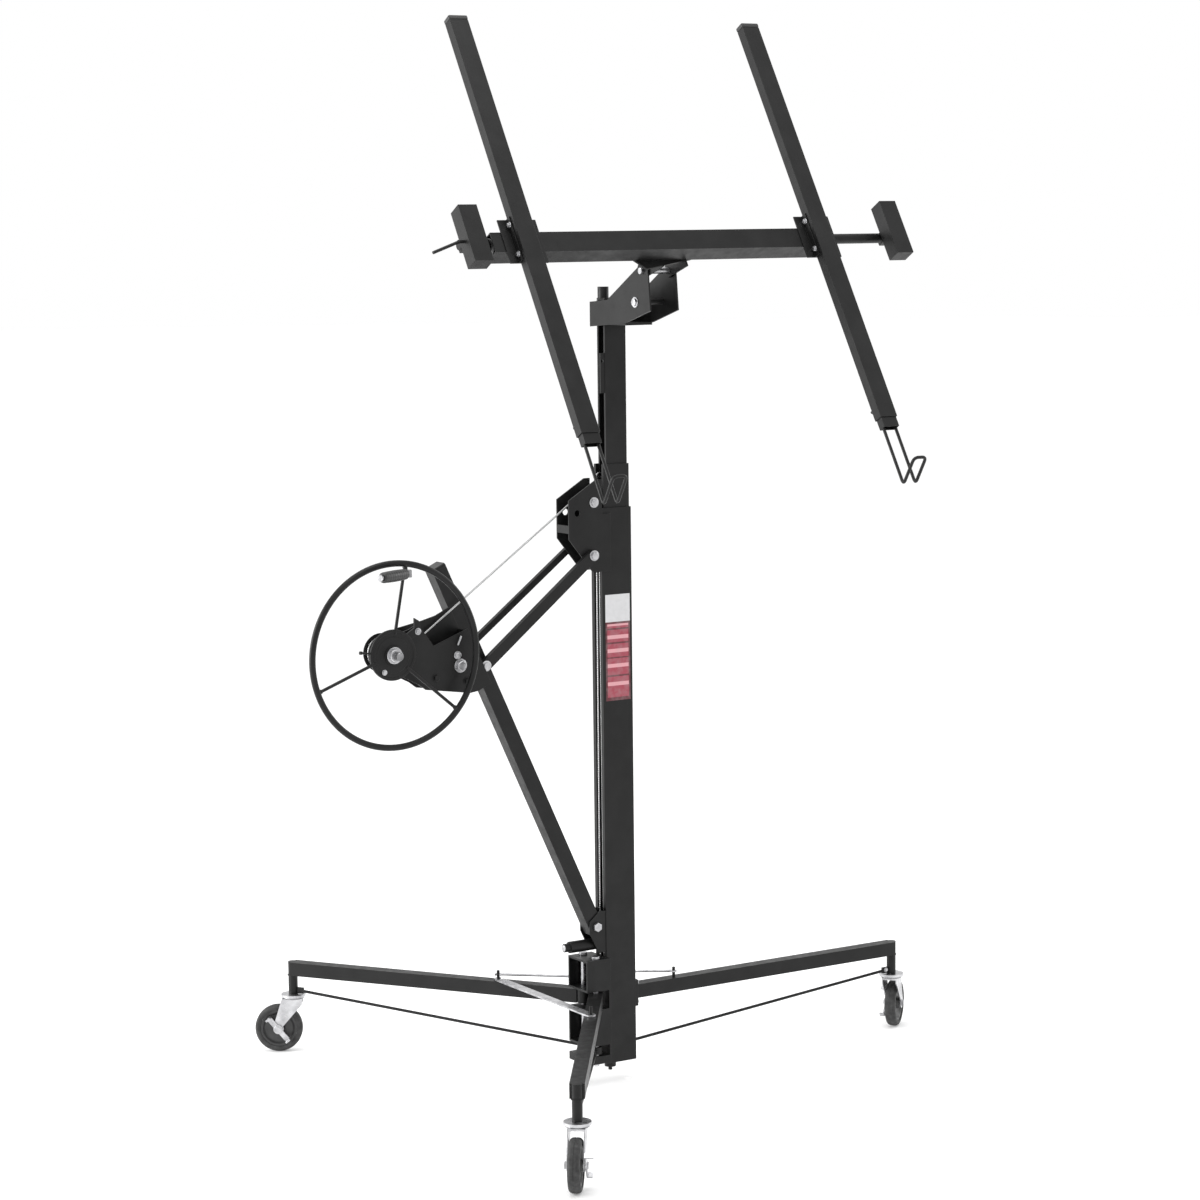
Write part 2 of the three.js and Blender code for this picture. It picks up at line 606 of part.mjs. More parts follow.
function handwheel() {
  const along = (angle, radius, y) => {
    const [dx, dz] = wheelDirection(angle);
    return [SHAFT.off + radius * dx, y, SHAFT.along + radius * dz];
  };
  const rim = new THREE.TorusGeometry(RIM.r, RIM.tube, 6, 48).rotateX(Math.PI / 2)
    .translate(SHAFT.off, RIM.y, SHAFT.along);
  const spokes = SPOKE_ANGLES.map((angle) => (
    rod(along(angle, HUB_DISC.r - 8, HUB_DISC.y0 + 3), along(angle, RIM.r, RIM.y), 4, 8)
  ));
  const disc = cylinder(HUB_DISC.r, 'y', HUB_DISC.y0, HUB_DISC.y1, SHAFT.off, SHAFT.along, 28);
  const boss = cylinder(24, 'y', HUB_DISC.y0 - 4, -92, SHAFT.off, SHAFT.along, 24);
  const bore = cylinder(SHAFT.r + GAP, 'y', -130, -80, SHAFT.off, SHAFT.along);
  const lug = rod(along(GRIP_ANGLE, RIM.r - 22, RIM.y - 10), along(GRIP_ANGLE, RIM.r, RIM.y), 5, 8);
  return cut(join(rim, ...spokes, disc, boss, lug), bore);
}

const GRIP_ANGLE = SPOKE_ANGLES[0];

function handwheelNut() {
  const nut = cylinder(20, 'y', HUB_DISC.y0 - 18, HUB_DISC.y0 - 4 - GAP, SHAFT.off, SHAFT.along, 6);
  const washer = cylinder(21, 'y', HUB_DISC.y0 - 7, HUB_DISC.y0 - 4 - GAP, SHAFT.off, SHAFT.along, 24);
  const bore = cylinder(SHAFT.r + GAP, 'y', -140, -100, SHAFT.off, SHAFT.along);
  return cut(join(nut, washer), bore);
}

// The grip, drawn in the upright frame about its hinge and turned out of the wheel's plane.
const GRIP_HINGE = { radius: RIM.r - 22, y: RIM.y - 24 };

function gripHinge() {
  const angle = GRIP_ANGLE * DEG;
  const shaftX = FOOT.x + SHAFT.off * Math.cos(TUBE_LEAN) - SHAFT.along * Math.sin(TUBE_LEAN);
  const shaftZ = FOOT.z + SHAFT.off * Math.sin(TUBE_LEAN) + SHAFT.along * Math.cos(TUBE_LEAN);
  return [
    shaftX + GRIP_HINGE.radius * Math.cos(angle),
    GRIP_HINGE.y,
    shaftZ + GRIP_HINGE.radius * Math.sin(angle),
  ];
}

function gripStem() {
  const knuckle = cylinder(7, 'z', -9, 9, 0, 0, 16);
  const spindle = cylinder(5, 'x', -GRIP.length - 10, -4, 0, 0, 14);
  const cap = cylinder(8, 'x', -GRIP.length - 16, -GRIP.length - 10, 0, 0, 16);
  return join(knuckle, spindle, cap);
}

function gripSleeve() {
  const radius = GRIP.r;
  return turned([
    [5 + GAP, 0], [radius - 2, 0], [radius, 4], [radius, GRIP.length - 6],
    [radius - 2, GRIP.length - 2], [5 + GAP, GRIP.length - 2],
  ], 20).rotateZ(Math.PI / 2).translate(-11, 0, 0);
}

// A brace from its pin on the winch tube up to the pulley bracket, where it hooks over a pin.
// The mouth leans so that the hook lifts off its pin as the tube folds towards the mast.
function brace({ side, along, x, z, width, thick, lean }) {
  const tubeX = FOOT.x - along * Math.sin(TUBE_LEAN);
  const tubeZ = FOOT.z + along * Math.cos(TUBE_LEAN);
  const length = Math.hypot(x - tubeX, z - tubeZ);
  const rise = Math.atan2(z - tubeZ, x - tubeX);
  const half = width / 2;
  const eye = Math.max(half, 12);
  const [y0, y1] = span(side, BRACE_SIDE, thick);
  const grip = 5 + 3 * GAP;
  const bar = box(0, length, y0, y1, -half, half);
  const ends = [0, length].map((at) => cylinder(eye, 'y', y0, y1, at, 0, 24));
  const holes = [0, length].map((at) => cylinder(grip, 'y', y0 - 1, y1 + 1, at, 0, 14));
  const mouth = box(-grip, grip, y0 - 1, y1 + 1, -2 * eye, 0)
    .rotateY(rise - lean * DEG).translate(length, 0, 0);
  return cut(join(bar, ...ends), ...holes, mouth).rotateY(-rise).translate(tubeX, 0, tubeZ);
}

function addWinch() {
  const winch = new THREE.Group();
  winch.position.set(FOOT.x, 0, FOOT.z);
  winch.rotation.y = -TUBE_LEAN;
  lift.add(winch);
  addMesh('winch_tube', winchTube(), blackPaint, winch);
  addMesh('winch_bracket', winchBracket(), blackPaint, winch);
  addMesh('cable_drum', drum(), zinc, winch);
  addMesh('ratchet_pawl', pawl(), blackPaint, winch);
  addMesh('handwheel', handwheel(), blackPaint, winch);
  addMesh('handwheel_nut', handwheelNut(), zinc, winch);
  const grip = new THREE.Group();
  grip.position.set(...gripHinge());
  grip.rotation.z = GRIP.fold * DEG;
  lift.add(grip);
  addMesh('crank_stem', gripStem(), zinc, grip);
  addMesh('crank_grip', gripSleeve(), blackPlastic, grip);
}

// ---------------------------------------------------------------- cable
function arcPoints(count, from, to, place) {
  return Array.from({ length: count + 1 }, (_, i) => (
    new THREE.Vector3(...place((from + ((to - from) * i) / count) * DEG, i / count))
  ));
}

// The cable: drum, over the top pulley, under the middle mast's lower sheave, over its upper
// sheave and down to the anchor at the inner mast's foot.
function cable() {
  const shaftX = FOOT.x + SHAFT.off * Math.cos(TUBE_LEAN) - SHAFT.along * Math.sin(TUBE_LEAN);
  const shaftZ = FOOT.z + SHAFT.off * Math.sin(TUBE_LEAN) + SHAFT.along * Math.cos(TUBE_LEAN);
  const dx = TOP_PULLEY.x - shaftX;
  const dz = TOP_PULLEY.z - shaftZ;
  const crossing = Math.asin((DRUM_CABLE_R + TOP_PULLEY.r) / Math.hypot(dx, dz));
  const slope = (Math.atan2(dz, dx) + crossing) / DEG;
  const onDrum = arcPoints(24, slope + 270, slope - 90, (angle, part) => [
    shaftX + DRUM_CABLE_R * Math.cos(angle),
    DRUM_Y[1] - 6 - 10 * part,
    shaftZ + DRUM_CABLE_R * Math.sin(angle),
  ]);
  const overTop = arcPoints(10, slope + 90, 0, (angle) => [
    TOP_PULLEY.x + TOP_PULLEY.r * Math.cos(angle),
    TOP_PULLEY.y,
    TOP_PULLEY.z + TOP_PULLEY.r * Math.sin(angle),
  ]);
  const underLower = arcPoints(8, 180, 360, (angle) => [
    LOWER_SHEAVE.x,
    LOWER_SHEAVE.y + LOWER_SHEAVE.r * Math.cos(angle),
    LOWER_SHEAVE.z + LOWER_SHEAVE.r * Math.sin(angle),
  ]);
  const overUpper = arcPoints(8, 180, 0, (angle) => [
    UPPER_SHEAVE.x + UPPER_SHEAVE.r * Math.cos(angle),
    UPPER_SHEAVE.y,
    UPPER_SHEAVE.z + UPPER_SHEAVE.r * Math.sin(angle),
  ]);
  const anchor = new THREE.Vector3(UPPER_SHEAVE.x + UPPER_SHEAVE.r, UPPER_SHEAVE.y, INNER.z + 18 + GAP);
  return wireAlong([...onDrum, ...overTop, ...underLower, ...overUpper, anchor], CABLE_R, 6);
}

// ---------------------------------------------------------------- head and cradle
function headYoke() {
  const side = new THREE.Shape();
  side.moveTo(22, 1938);
  side.lineTo(22, 2000);
  side.lineTo(-60, 2006);
  side.lineTo(TILT_PIN.y + 22, TILT_PIN.z + 8);
  side.absarc(TILT_PIN.y, TILT_PIN.z, 24, 30 * DEG, 190 * DEG, false);
  side.lineTo(-256, 1982);
  side.lineTo(-143, 1950);
  side.holes.push(roundHole(TILT_PIN.y, TILT_PIN.z, TILT_PIN.r + GAP));
  const inside = INNER.x1 + GAP;
  const left = plateYZ(side, -inside - 4, -inside);
  const right = plateYZ(side, inside, inside + 4);
  const floor = box(-inside - 1, inside + 1, -140, -INNER.y - GAP, 1944, 1950);
  const face = box(-inside - 1, inside + 1, -INNER.y - 5, -INNER.y - GAP, 1944, 2002);
  const stay = cylinder(7, 'x', -inside - 6, inside + 6, -189, 2002, 16);
  return join(left, right, floor, face, stay);
}

// A cap on the mast's top with the bolt head that fixes the yoke.
function mastCap() {
  const { x0, x1, y } = INNER;
  const top = INNER.z + INNER_LENGTH + GAP;
  const cap = box(x0, x1, -y, y, top, top + 5);
  const knob = cylinder(14, 'z', top + 4, top + 33, -16, 0);
  return join(cap, knob);
}

function tiltPin() {
  const reach = INNER.x1 + 4 + 2 * GAP;
  const shank = cylinder(TILT_PIN.r, 'x', -reach - 8, reach + 1, TILT_PIN.y, TILT_PIN.z);
  const head = cylinder(13, 'x', reach, reach + 8, TILT_PIN.y, TILT_PIN.z, 6);
  return join(shank, head);
}

// The crossbar with a saddle welded under each arm.
function crossbar() {
  const { x0, x1, size, v, w, wall } = CROSSBAR;
  const half = size / 2;
  const inner = half - wall;
  const bar = box(x0, x1, v - half, v + half, w - half, w + half);
  const bore = box(x0 - 1, x1 + 1, v - inner, v + inner, w - inner, w + inner);
  const saddles = [-1, 1].flatMap((side) => {
    const x = CRADLE_X + side * ARM_SPREAD;
    const w0 = w + half - 0.5;
    const w1 = w + half + SADDLE.thick;
    const reach = SADDLE.length / 2;
    const plate = box(x - SADDLE.width / 2, x + SADDLE.width / 2, v - reach, v + reach, w0, w1);
    const ears = [-1, 1].map((ear) => {
      const [e0, e1] = span(ear, ARM.width / 2 + GAP, 3);
      return box(x + e0, x + e1, v - reach, v + reach, w1 - 1, w1 + 16);
    });
    return [plate, ...ears];
  });
  return join(cut(bar, bore), ...saddles);
}

// The wide V plate and the two cheeks that hang the crossbar on the tilt pin.
function tiltPlate() {
  const under = CROSSBAR.w - CROSSBAR.size / 2 - GAP;
  const cheek = new THREE.Shape();
  cheek.moveTo(-34, under);
  cheek.lineTo(-16, -6);
  cheek.absarc(0, 0, 18, 200 * DEG, 340 * DEG, false);
  cheek.lineTo(44, under);
  cheek.holes.push(roundHole(0, 0, TILT_PIN.r + GAP));
  const cheeks = [-1, 1].map((side) => plateYZ(cheek, ...span(side, INNER.x1 - 5, 4)));
  const middle = CRADLE_X - 4;
  const wide = outline([
    [middle - 153, 62], [middle - 83, 40], [middle + 83, 40], [middle + 153, 62],
    [middle + 153, 52], [middle + 75, -16], [middle - 61, -40], [middle - 153, 38],
  ]);
  const plate = extrude(wide, 5).translate(0, 0, under - 5);
  return join(...cheeks, plate);
}

function armPieces(side) {
  const x = CRADLE_X + side * ARM_SPREAD;
  const w0 = CROSSBAR.w + CROSSBAR.size / 2 + SADDLE.thick + GAP;
  return { x, w0, w1: w0 + ARM.thick };
}

function crossArm(side) {
  const { x, w0, w1 } = armPieces(side);
  const half = ARM.width / 2;
  const bar = box(x - half, x + half, ARM.low, ARM.high, w0, w1);
  const bore = box(x - half + 2, x + half - 2, ARM.low - 1, ARM.high - 20, w0 + 2, w1 - 2);
  return cut(bar, bore);
}

// A plastic plug and cushion on the upper end of each arm.
function armCap(side) {
  const { x, w0, w1 } = armPieces(side);
  const half = ARM.width / 2 + 1;
  return box(x - half, x + half, ARM.high + GAP, ARM.high + 12, w0 - 1, w1 + 1);
}

// A sleeve inside the arm's lower end with a U of wire that catches the sheet's edge.
function sheetHook(side) {
  const { x, w0, w1 } = armPieces(side);
  const w = (w0 + w1) / 2;
  const half = ARM.width / 2 - 2 - GAP;
  const depth = ARM.thick / 2 - 2 - GAP;
  const sleeve = cut(
    box(x - half, x + half, ARM.low - 26, ARM.low + 90, w - depth, w + depth),
    box(x - half + 2, x + half - 2, ARM.low - 27, ARM.low + 91, w - depth + 2, w + depth - 2),
  );
  const low = ARM.low - HOOK.reach;
  const spread = HOOK.spacing / 2;
  const top = w + HOOK.jaw;
  const loop = bentWire([
    [x - spread, ARM.low - 20, w], [x - spread, low, w], [x - spread, low + 36, top],
    [x + spread, low + 36, top], [x + spread, low, w], [x + spread, ARM.low - 20, w],
  ], HOOK.wire, 13, 6, 3);
  return join(sleeve, loop);
}

// A sliding rod with its cross piece, which supports the sheet beyond the arms.
function outrigger(side) {
  const { r, v, left, right, bar, width } = OUTRIGGER;
  const end = side < 0 ? left : right;
  const outer = end + side * (width / 2 - 6);
  const inner = outer - side * 506;
  const { w } = CROSSBAR;
  const slide = cylinder(r, 'x', inner, outer, v, w, 20);
  const top = armPieces(side).w1;
  const cross = box(end - width / 2, end + width / 2, v - bar / 2, v + bar / 2, top - 40, top);
  const neck = box(end - 14, end + 14, v - 14, v + 14, w - 14, top - 38);
  return join(slide, cross, neck);
}

function leftOutrigger() {
  const edge = OUTRIGGER.left - OUTRIGGER.width / 2;
  const w = armPieces(-1).w1 - 20;
  const handle = bentWire([[edge + 4, 6, w], [edge - 14, 6, w], [edge - 91, -22, w]], 4, 8);
  return join(outrigger(-1), handle);
}

function addCradle() {
  const cradle = new THREE.Group();
  cradle.position.set(0, TILT_PIN.y, TILT_PIN.z);
  cradle.rotation.x = TILT;
  lift.add(cradle);
  addMesh('crossbar', crossbar(), blackPaint, cradle);
  addMesh('tilt_plate', tiltPlate(), blackPaint, cradle);
  [['left', -1], ['right', 1]].forEach(([name, side]) => {
    addMesh(`${name}_arm`, crossArm(side), blackPaint, cradle);
    addMesh(`${name}_arm_cap`, armCap(side), blackPlastic, cradle);
    addMesh(`${name}_hook`, sheetHook(side), zinc, cradle);
  });
  addMesh('left_outrigger', leftOutrigger(), blackPaint, cradle);
  addMesh('right_outrigger', outrigger(1), blackPaint, cradle);
}

// ---------------------------------------------------------------- assembly
function addMast() {
  addMesh('outer_mast', channel(OUTER, SECTION_LENGTH), blackPaint);
  addMesh('mast_foot', mastFoot(), blackPaint);
  addMesh('middle_mast', middleMast(), blackPaint);
  addMesh('inner_mast', innerMast(), blackPaint);
  addMesh('pulley_bracket', pulleyBracket(), blackPaint);
  addMesh('top_pulley', pulley(TOP_PULLEY, 5, 5.5, 28)
    .translate(TOP_PULLEY.x, TOP_PULLEY.y, TOP_PULLEY.z), blackPlastic);
  addMesh('upper_sheave', pulley(UPPER_SHEAVE, 2.5, 4, 20)
    .translate(UPPER_SHEAVE.x, UPPER_SHEAVE.y, UPPER_SHEAVE.z), zinc);
  addMesh('lower_sheave', pulley(LOWER_SHEAVE, 2.5, 3.9, 20).rotateZ(Math.PI / 2)
    .translate(LOWER_SHEAVE.x, LOWER_SHEAVE.y, LOWER_SHEAVE.z), zinc);
  addMesh('winch_cable', cable(), zinc);
  addMesh('head_yoke', headYoke(), blackPaint);
  addMesh('mast_cap', mastCap(), zinc);
  addMesh('tilt_pin', tiltPin(), zinc);
}

function addTripod() {
  addMesh('hinge_post', hingePost(), blackPaint);
  addMesh('fixed_leg', fixedLeg(), blackPaint);
  addMesh('fixed_leg_rod', fixedLegRod(), zinc);
  [['left', 1], ['front', -1]].forEach(([name, side]) => {
    const leg = new THREE.Group();
    leg.position.set(LEG_PIN.x, side * LEG_PIN.y, 0);
    leg.rotation.z = side * SIDE_LEG_ANGLE;
    lift.add(leg);
    addMesh(`${name}_leg`, foldingLeg(), blackPaint, leg);
    addMesh(`${name}_leg_rod`, foldingLegRod(), zinc, leg);
    addMesh(`${name}_leg_pin`, legPin(side), zinc);
  });
  addMesh('spreader_bar', spreaderBar(), zinc);
  addMesh('lock_rod', lockRod(), zinc);
}

function addWinchMounting() {
  addMesh('foot_bracket', footBracket(), blackPaint);
  addMesh('foot_pin', footPin(), zinc);
  addMesh('near_brace', brace(NEAR_BRACE), blackPaint);
  addMesh('far_brace', brace(FAR_BRACE), blackPaint);
}

addMast();
addTripod();
addCaster('fixed', FIXED_LEG_REACH, 0, 40);
addCaster('left', SIDE_CASTER.x, SIDE_CASTER.y, 148);
addCaster('front', SIDE_CASTER.x, -SIDE_CASTER.y, 232);
addWinchMounting();
addWinch();
addCradle();

// The origin is the bottom centre of the whole lift.
const bounds = new THREE.Box3().setFromObject(lift, true);
const centre = bounds.getCenter(new THREE.Vector3());
lift.position.set(-centre.x, -centre.y, -bounds.min.z);
lift.updateMatrixWorld(true);

export default lift;
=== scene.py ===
"""Looks of the drywall lift: finishes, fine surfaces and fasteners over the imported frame.

Shapes are drawn in millimetres in a local frame and placed in the row frame in metres.
"""

import json
import math

import bmesh
import bpy
from mathutils import Matrix, Vector

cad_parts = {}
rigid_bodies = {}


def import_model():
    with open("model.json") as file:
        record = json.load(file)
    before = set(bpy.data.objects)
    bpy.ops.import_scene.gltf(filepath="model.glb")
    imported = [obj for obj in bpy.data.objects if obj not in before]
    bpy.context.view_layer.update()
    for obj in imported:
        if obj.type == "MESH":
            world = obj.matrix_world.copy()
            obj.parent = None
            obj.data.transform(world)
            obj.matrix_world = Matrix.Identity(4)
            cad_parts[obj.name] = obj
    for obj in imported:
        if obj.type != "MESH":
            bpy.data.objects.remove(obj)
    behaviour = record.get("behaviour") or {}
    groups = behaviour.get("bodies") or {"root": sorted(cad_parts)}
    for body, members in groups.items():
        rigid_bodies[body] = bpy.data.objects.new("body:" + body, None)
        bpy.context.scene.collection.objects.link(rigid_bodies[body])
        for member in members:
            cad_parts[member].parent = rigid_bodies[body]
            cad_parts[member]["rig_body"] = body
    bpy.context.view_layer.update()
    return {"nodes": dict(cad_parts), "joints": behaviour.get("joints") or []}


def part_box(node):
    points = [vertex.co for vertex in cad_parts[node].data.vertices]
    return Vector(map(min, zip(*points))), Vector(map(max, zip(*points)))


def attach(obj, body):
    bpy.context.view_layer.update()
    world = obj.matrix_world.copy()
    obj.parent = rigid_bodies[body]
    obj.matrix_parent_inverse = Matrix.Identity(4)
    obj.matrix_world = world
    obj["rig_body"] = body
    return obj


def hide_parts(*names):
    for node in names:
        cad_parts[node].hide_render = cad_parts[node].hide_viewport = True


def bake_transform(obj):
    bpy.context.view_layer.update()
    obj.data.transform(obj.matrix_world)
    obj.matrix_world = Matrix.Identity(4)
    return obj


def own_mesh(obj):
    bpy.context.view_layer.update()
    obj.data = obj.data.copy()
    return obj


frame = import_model()
JOINTS = {joint["name"]: joint for joint in frame["joints"]}
MM = 0.001

# ---------------------------------------------------------------- driving dimensions, in mm
WHEEL_R = 63.5
TYRE_WIDTH = 30
RIM_OUTER = 49
FORK_OUTSIDE = 21.3
CASTER_TOP = 156
STEM_R = 12.5
LEG_TOP = 244
LEG_SIZE = 36
FIXED_LEG_REACH = 888
LEG_PIN = (-80, 30)
SIDE_CASTER = (-565, 724)
SIDE_LEG_REACH = Vector(SIDE_CASTER) - Vector(LEG_PIN)
SIDE_LEG_ANGLE = math.atan2(SIDE_LEG_REACH.y, SIDE_LEG_REACH.x)
PEG = {"r": 4, "along": 241}
LOCK_PEG_X = 178
LOCK_Z = LEG_TOP + 15

MAST_FRONT_Y = -26
LABEL = {"x0": -36, "x1": 37, "z0": 992, "z1": 1263}
TUBE_LEAN = math.radians(24.8)
TUBE_HALF = 20
TUBE_LENGTH = 1049
SHAFT_R = 10
SHAFT_END_Y = -146
SHAFT_BORE_R = 10.4
WINCH_NEAR_Y = -78
DRUM_Y = (-68, -46)
DRUM_CABLE_R = 38
RATCHET = {"teeth": 14, "r": 46, "depth": 7}
CABLE_PITCH = 5.3
WASHER = 1.6
BRACE_OUT = {"near": 45.6, "far": 43.6}
CABLE_R = 2.5
RIM = {"r": 222, "tube": 8, "y": -120}
HUB_DISC = {"r": 62, "y0": -110, "y1": -102}
SPOKE_ANGLES = (82, 199, 319)
GRIP = {"length": 96, "r": 14, "fold": 24}
TOP_PULLEY = {"x": -69, "y": -6, "z": 1500, "r": 30.8, "half": 5.5, "axle": 5}
UPPER_SHEAVE = {"x": -28.4, "y": 7, "z": 1560, "r": 9.8, "half": 4, "axle": 2.5}
LOWER_SHEAVE = {"x": -39.6, "y": 0, "z": 186, "r": 9.5, "half": 3.9, "axle": 2.5}
ANCHOR_Z = 622

TILT = math.radians(59)
CROSSBAR = {"x0": -525, "x1": 455, "half": 26.5, "v": 9, "w": 105}
CRADLE_X = -20
ARM_SPREAD = 425
ARM = {"half": 25, "low": -511, "w0": 134.8, "w1": 161.8}
HOOK = {"wire": 4, "spread": 18, "reach": 178, "jaw": 70}

# The photograph's viewpoint.
CAMERA = {"at": (-4.2404, -6.6669, 2.207), "heading": 32.03, "down": 6.94, "roll": -0.65, "lens": 94.05}


# ---------------------------------------------------------------- places in the row frame
def mast_place(x=0, y=0, z=0):
    """A frame at a point given in mm from the foot of the mast's centre line."""
    low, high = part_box("outer_mast")
    return Matrix.Translation(((low.x + high.x) / 2 + x * MM, (low.y + high.y) / 2 + y * MM, z * MM))


def joint_place(name):
    """A frame at a joint, with its Y along the joint's axis and its Z as upright as it can be."""
    joint = JOINTS[name]
    y = Vector(joint["axis"]).normalized()
    up = Vector((0, 0, 1))
    if abs(y.z) > 0.9:
        return Matrix.Translation(joint["pos_m"])
    x = y.cross(up).normalized()
    z = x.cross(y)
    turn = Matrix((x, y, z)).transposed().to_4x4()
    return Matrix.Translation(joint["pos_m"]) @ turn


def winch_place():
    """The leaning tube's frame: origin at its foot pin, Z up the tube."""
    return joint_place("winch_fold") @ Matrix.Rotation(-TUBE_LEAN, 4, "Y")


def cradle_place():
    """The cradle's frame: origin at the tilt pin, Y up the slope, Z out of it."""
    return Matrix.Translation(JOINTS["cradle_tilt"]["pos_m"]) @ Matrix.Rotation(TILT, 4, "X")


def leg_place(name):
    """A leg's frame, with the leg along X."""
    if name == "fixed":
        return mast_place()
    side = 1 if name == "left" else -1
    pivot = Matrix.Translation(JOINTS[f"{name}_leg_fold"]["pos_m"])
    return pivot @ Matrix.Rotation(side * SIDE_LEG_ANGLE, 4, "Z")


def facing(place, x, y, z, direction):
    """The given place's frame moved by x, y, z mm, with its Z turned along a direction."""
    turn = Vector(direction).to_track_quat("Z", "Y").to_matrix().to_4x4()
    return place @ Matrix.Translation((x * MM, y * MM, z * MM)) @ turn


# ---------------------------------------------------------------- node helpers
def start_material(name, roughness, metallic=0.0):
    material = bpy.data.materials.new(name)
    material.use_nodes = True
    shader = material.node_tree.nodes["Principled BSDF"]
    shader.inputs["Roughness"].default_value = roughness
    shader.inputs["Metallic"].default_value = metallic
    return material, shader


def link(material, source, target):
    material.node_tree.links.new(source, target)


def noise(material, scale, detail=3.0, stretch=(1, 1, 1)):
    """Noise in object coordinates; scale is in cycles per metre."""
    nodes = material.node_tree.nodes
    place = nodes.new("ShaderNodeTexCoord")
    mapping = nodes.new("ShaderNodeMapping")
    mapping.inputs["Scale"].default_value = stretch
    texture = nodes.new("ShaderNodeTexNoise")
    texture.inputs["Scale"].default_value = scale
    texture.inputs["Detail"].default_value = detail
    link(material, place.outputs["Object"], mapping.inputs["Vector"])
    link(material, mapping.outputs["Vector"], texture.inputs["Vector"])
    return texture.outputs["Fac"]


def ramp(material, source, stops, interpolation="LINEAR"):
    """Colours along a 0 to 1 value; stops are (position, grey or colour) pairs."""
    node = material.node_tree.nodes.new("ShaderNodeValToRGB")
    elements = node.color_ramp.elements
    node.color_ramp.interpolation = interpolation
    while len(elements) < len(stops):
        elements.new(0.5)
    for element, (position, colour) in zip(elements, stops):
        element.position = position
        rgb = colour if isinstance(colour, tuple) else (colour,) * 3
        element.color = (*rgb, 1)
    link(material, source, node.inputs["Fac"])
    return node.outputs["Color"]


def mix(material, amount, first, second):
    node = material.node_tree.nodes.new("ShaderNodeMix")
    node.data_type = "RGBA"
    link(material, amount, node.inputs["Factor"])
    link(material, first, node.inputs["A"])
    link(material, second, node.inputs["B"])
    return node.outputs["Result"]


def bump(material, shader, height, strength, distance_mm):
    node = material.node_tree.nodes.new("ShaderNodeBump")
    node.inputs["Strength"].default_value = strength
    node.inputs["Distance"].default_value = distance_mm * MM
    link(material, height, node.inputs["Height"])
    link(material, node.outputs["Normal"], shader.inputs["Normal"])


def edge_mask(material, reach_mm):
    """Dark on flat faces and bright along convex edges."""
    node = material.node_tree.nodes.new("ShaderNodeAmbientOcclusion")
    node.samples = 4
    node.inside = True
    node.only_local = True
    node.inputs["Distance"].default_value = reach_mm * MM
    return ramp(material, node.outputs["AO"], [(0.35, 1.0), (0.75, 0.0)])


# ---------------------------------------------------------------- materials
def powder_coat():
    """Satin black powder coat: orange-peel texture, uneven gloss, pale rubbed edges."""
    material, shader = start_material("satin_black_powder_coat", 0.42)
    shader.inputs["Specular IOR Level"].default_value = 0.26
    body = ramp(material, noise(material, 14, 5), [(0.3, 0.004), (0.7, 0.009)])
    worn = ramp(material, noise(material, 160, 6), [(0.3, 0.02), (0.7, 0.07)])
    colour = mix(material, edge_mask(material, 1.3), body, worn)
    link(material, colour, shader.inputs["Base Color"])
    gloss = ramp(material, noise(material, 45, 6), [(0.3, 0.34), (0.7, 0.5)])
    link(material, gloss, shader.inputs["Roughness"])
    bump(material, shader, noise(material, 700, 2), 0.16, 0.35)
    return material


def zinc_plate(name="bright_zinc_plate", light=0.62, dark=0.36):
    """Bright zinc with faint drawing lines and a cloudy, uneven shine."""
    material, shader = start_material(name, 0.3, 1.0)
    cloud = noise(material, 38, 6)
    colour = ramp(material, cloud, [(0.3, (dark, dark, dark * 1.03)), (0.7, (light, light, light * 1.02))])
    link(material, colour, shader.inputs["Base Color"])
    gloss = ramp(material, noise(material, 90, 4), [(0.3, 0.22), (0.7, 0.44)])
    link(material, gloss, shader.inputs["Roughness"])
    bump(material, shader, noise(material, 260, 3, (1, 1, 6)), 0.12, 0.2)
    return material


def rubber():
    """Dusty black tyre rubber, rougher and paler where it rolls."""
    material, shader = start_material("tyre_rubber", 0.75)
    colour = ramp(material, noise(material, 55, 7), [(0.35, 0.017), (0.75, 0.045)])
    link(material, colour, shader.inputs["Base Color"])
    gloss = ramp(material, noise(material, 120, 4), [(0.3, 0.6), (0.7, 0.88)])
    link(material, gloss, shader.inputs["Roughness"])
    bump(material, shader, noise(material, 900, 5), 0.35, 0.3)
    return material


def moulded_plastic(name, dark, light, low, high):
    """Moulded plastic with a fine eroded grain and slightly uneven colour."""
    material, shader = start_material(name, 0.5)
    colour = ramp(material, noise(material, 30, 4), [(0.3, dark), (0.7, light)])
    link(material, colour, shader.inputs["Base Color"])
    gloss = ramp(material, noise(material, 140, 3), [(0.3, low), (0.7, high)])
    link(material, gloss, shader.inputs["Roughness"])
    bump(material, shader, noise(material, 1400, 2), 0.2, 0.15)
    return material


def wire_rope():
    """Galvanised rope: strands twist round its length, with painted shade in the valleys between them."""
    material, shader = start_material("galvanised_wire_rope", 0.35, 1.0)
    nodes = material.node_tree.nodes
    place = nodes.new("ShaderNodeTexCoord")
    wave = nodes.new("ShaderNodeTexWave")
    wave.bands_direction = "DIAGONAL"
    wave.inputs["Scale"].default_value = 110
    wave.inputs["Distortion"].default_value = 0.6
    link(material, place.outputs["Object"], wave.inputs["Vector"])
    # painted shade: the colour follows the bump's wave, dark in the valleys between strands and plain zinc on
    # their crowns
    colour = ramp(material, wave.outputs["Fac"], [(0.1, 0.16), (0.7, 0.62)])
    link(material, colour, shader.inputs["Base Color"])
    bump(material, shader, wave.outputs["Fac"], 0.8, 0.5)
    return material


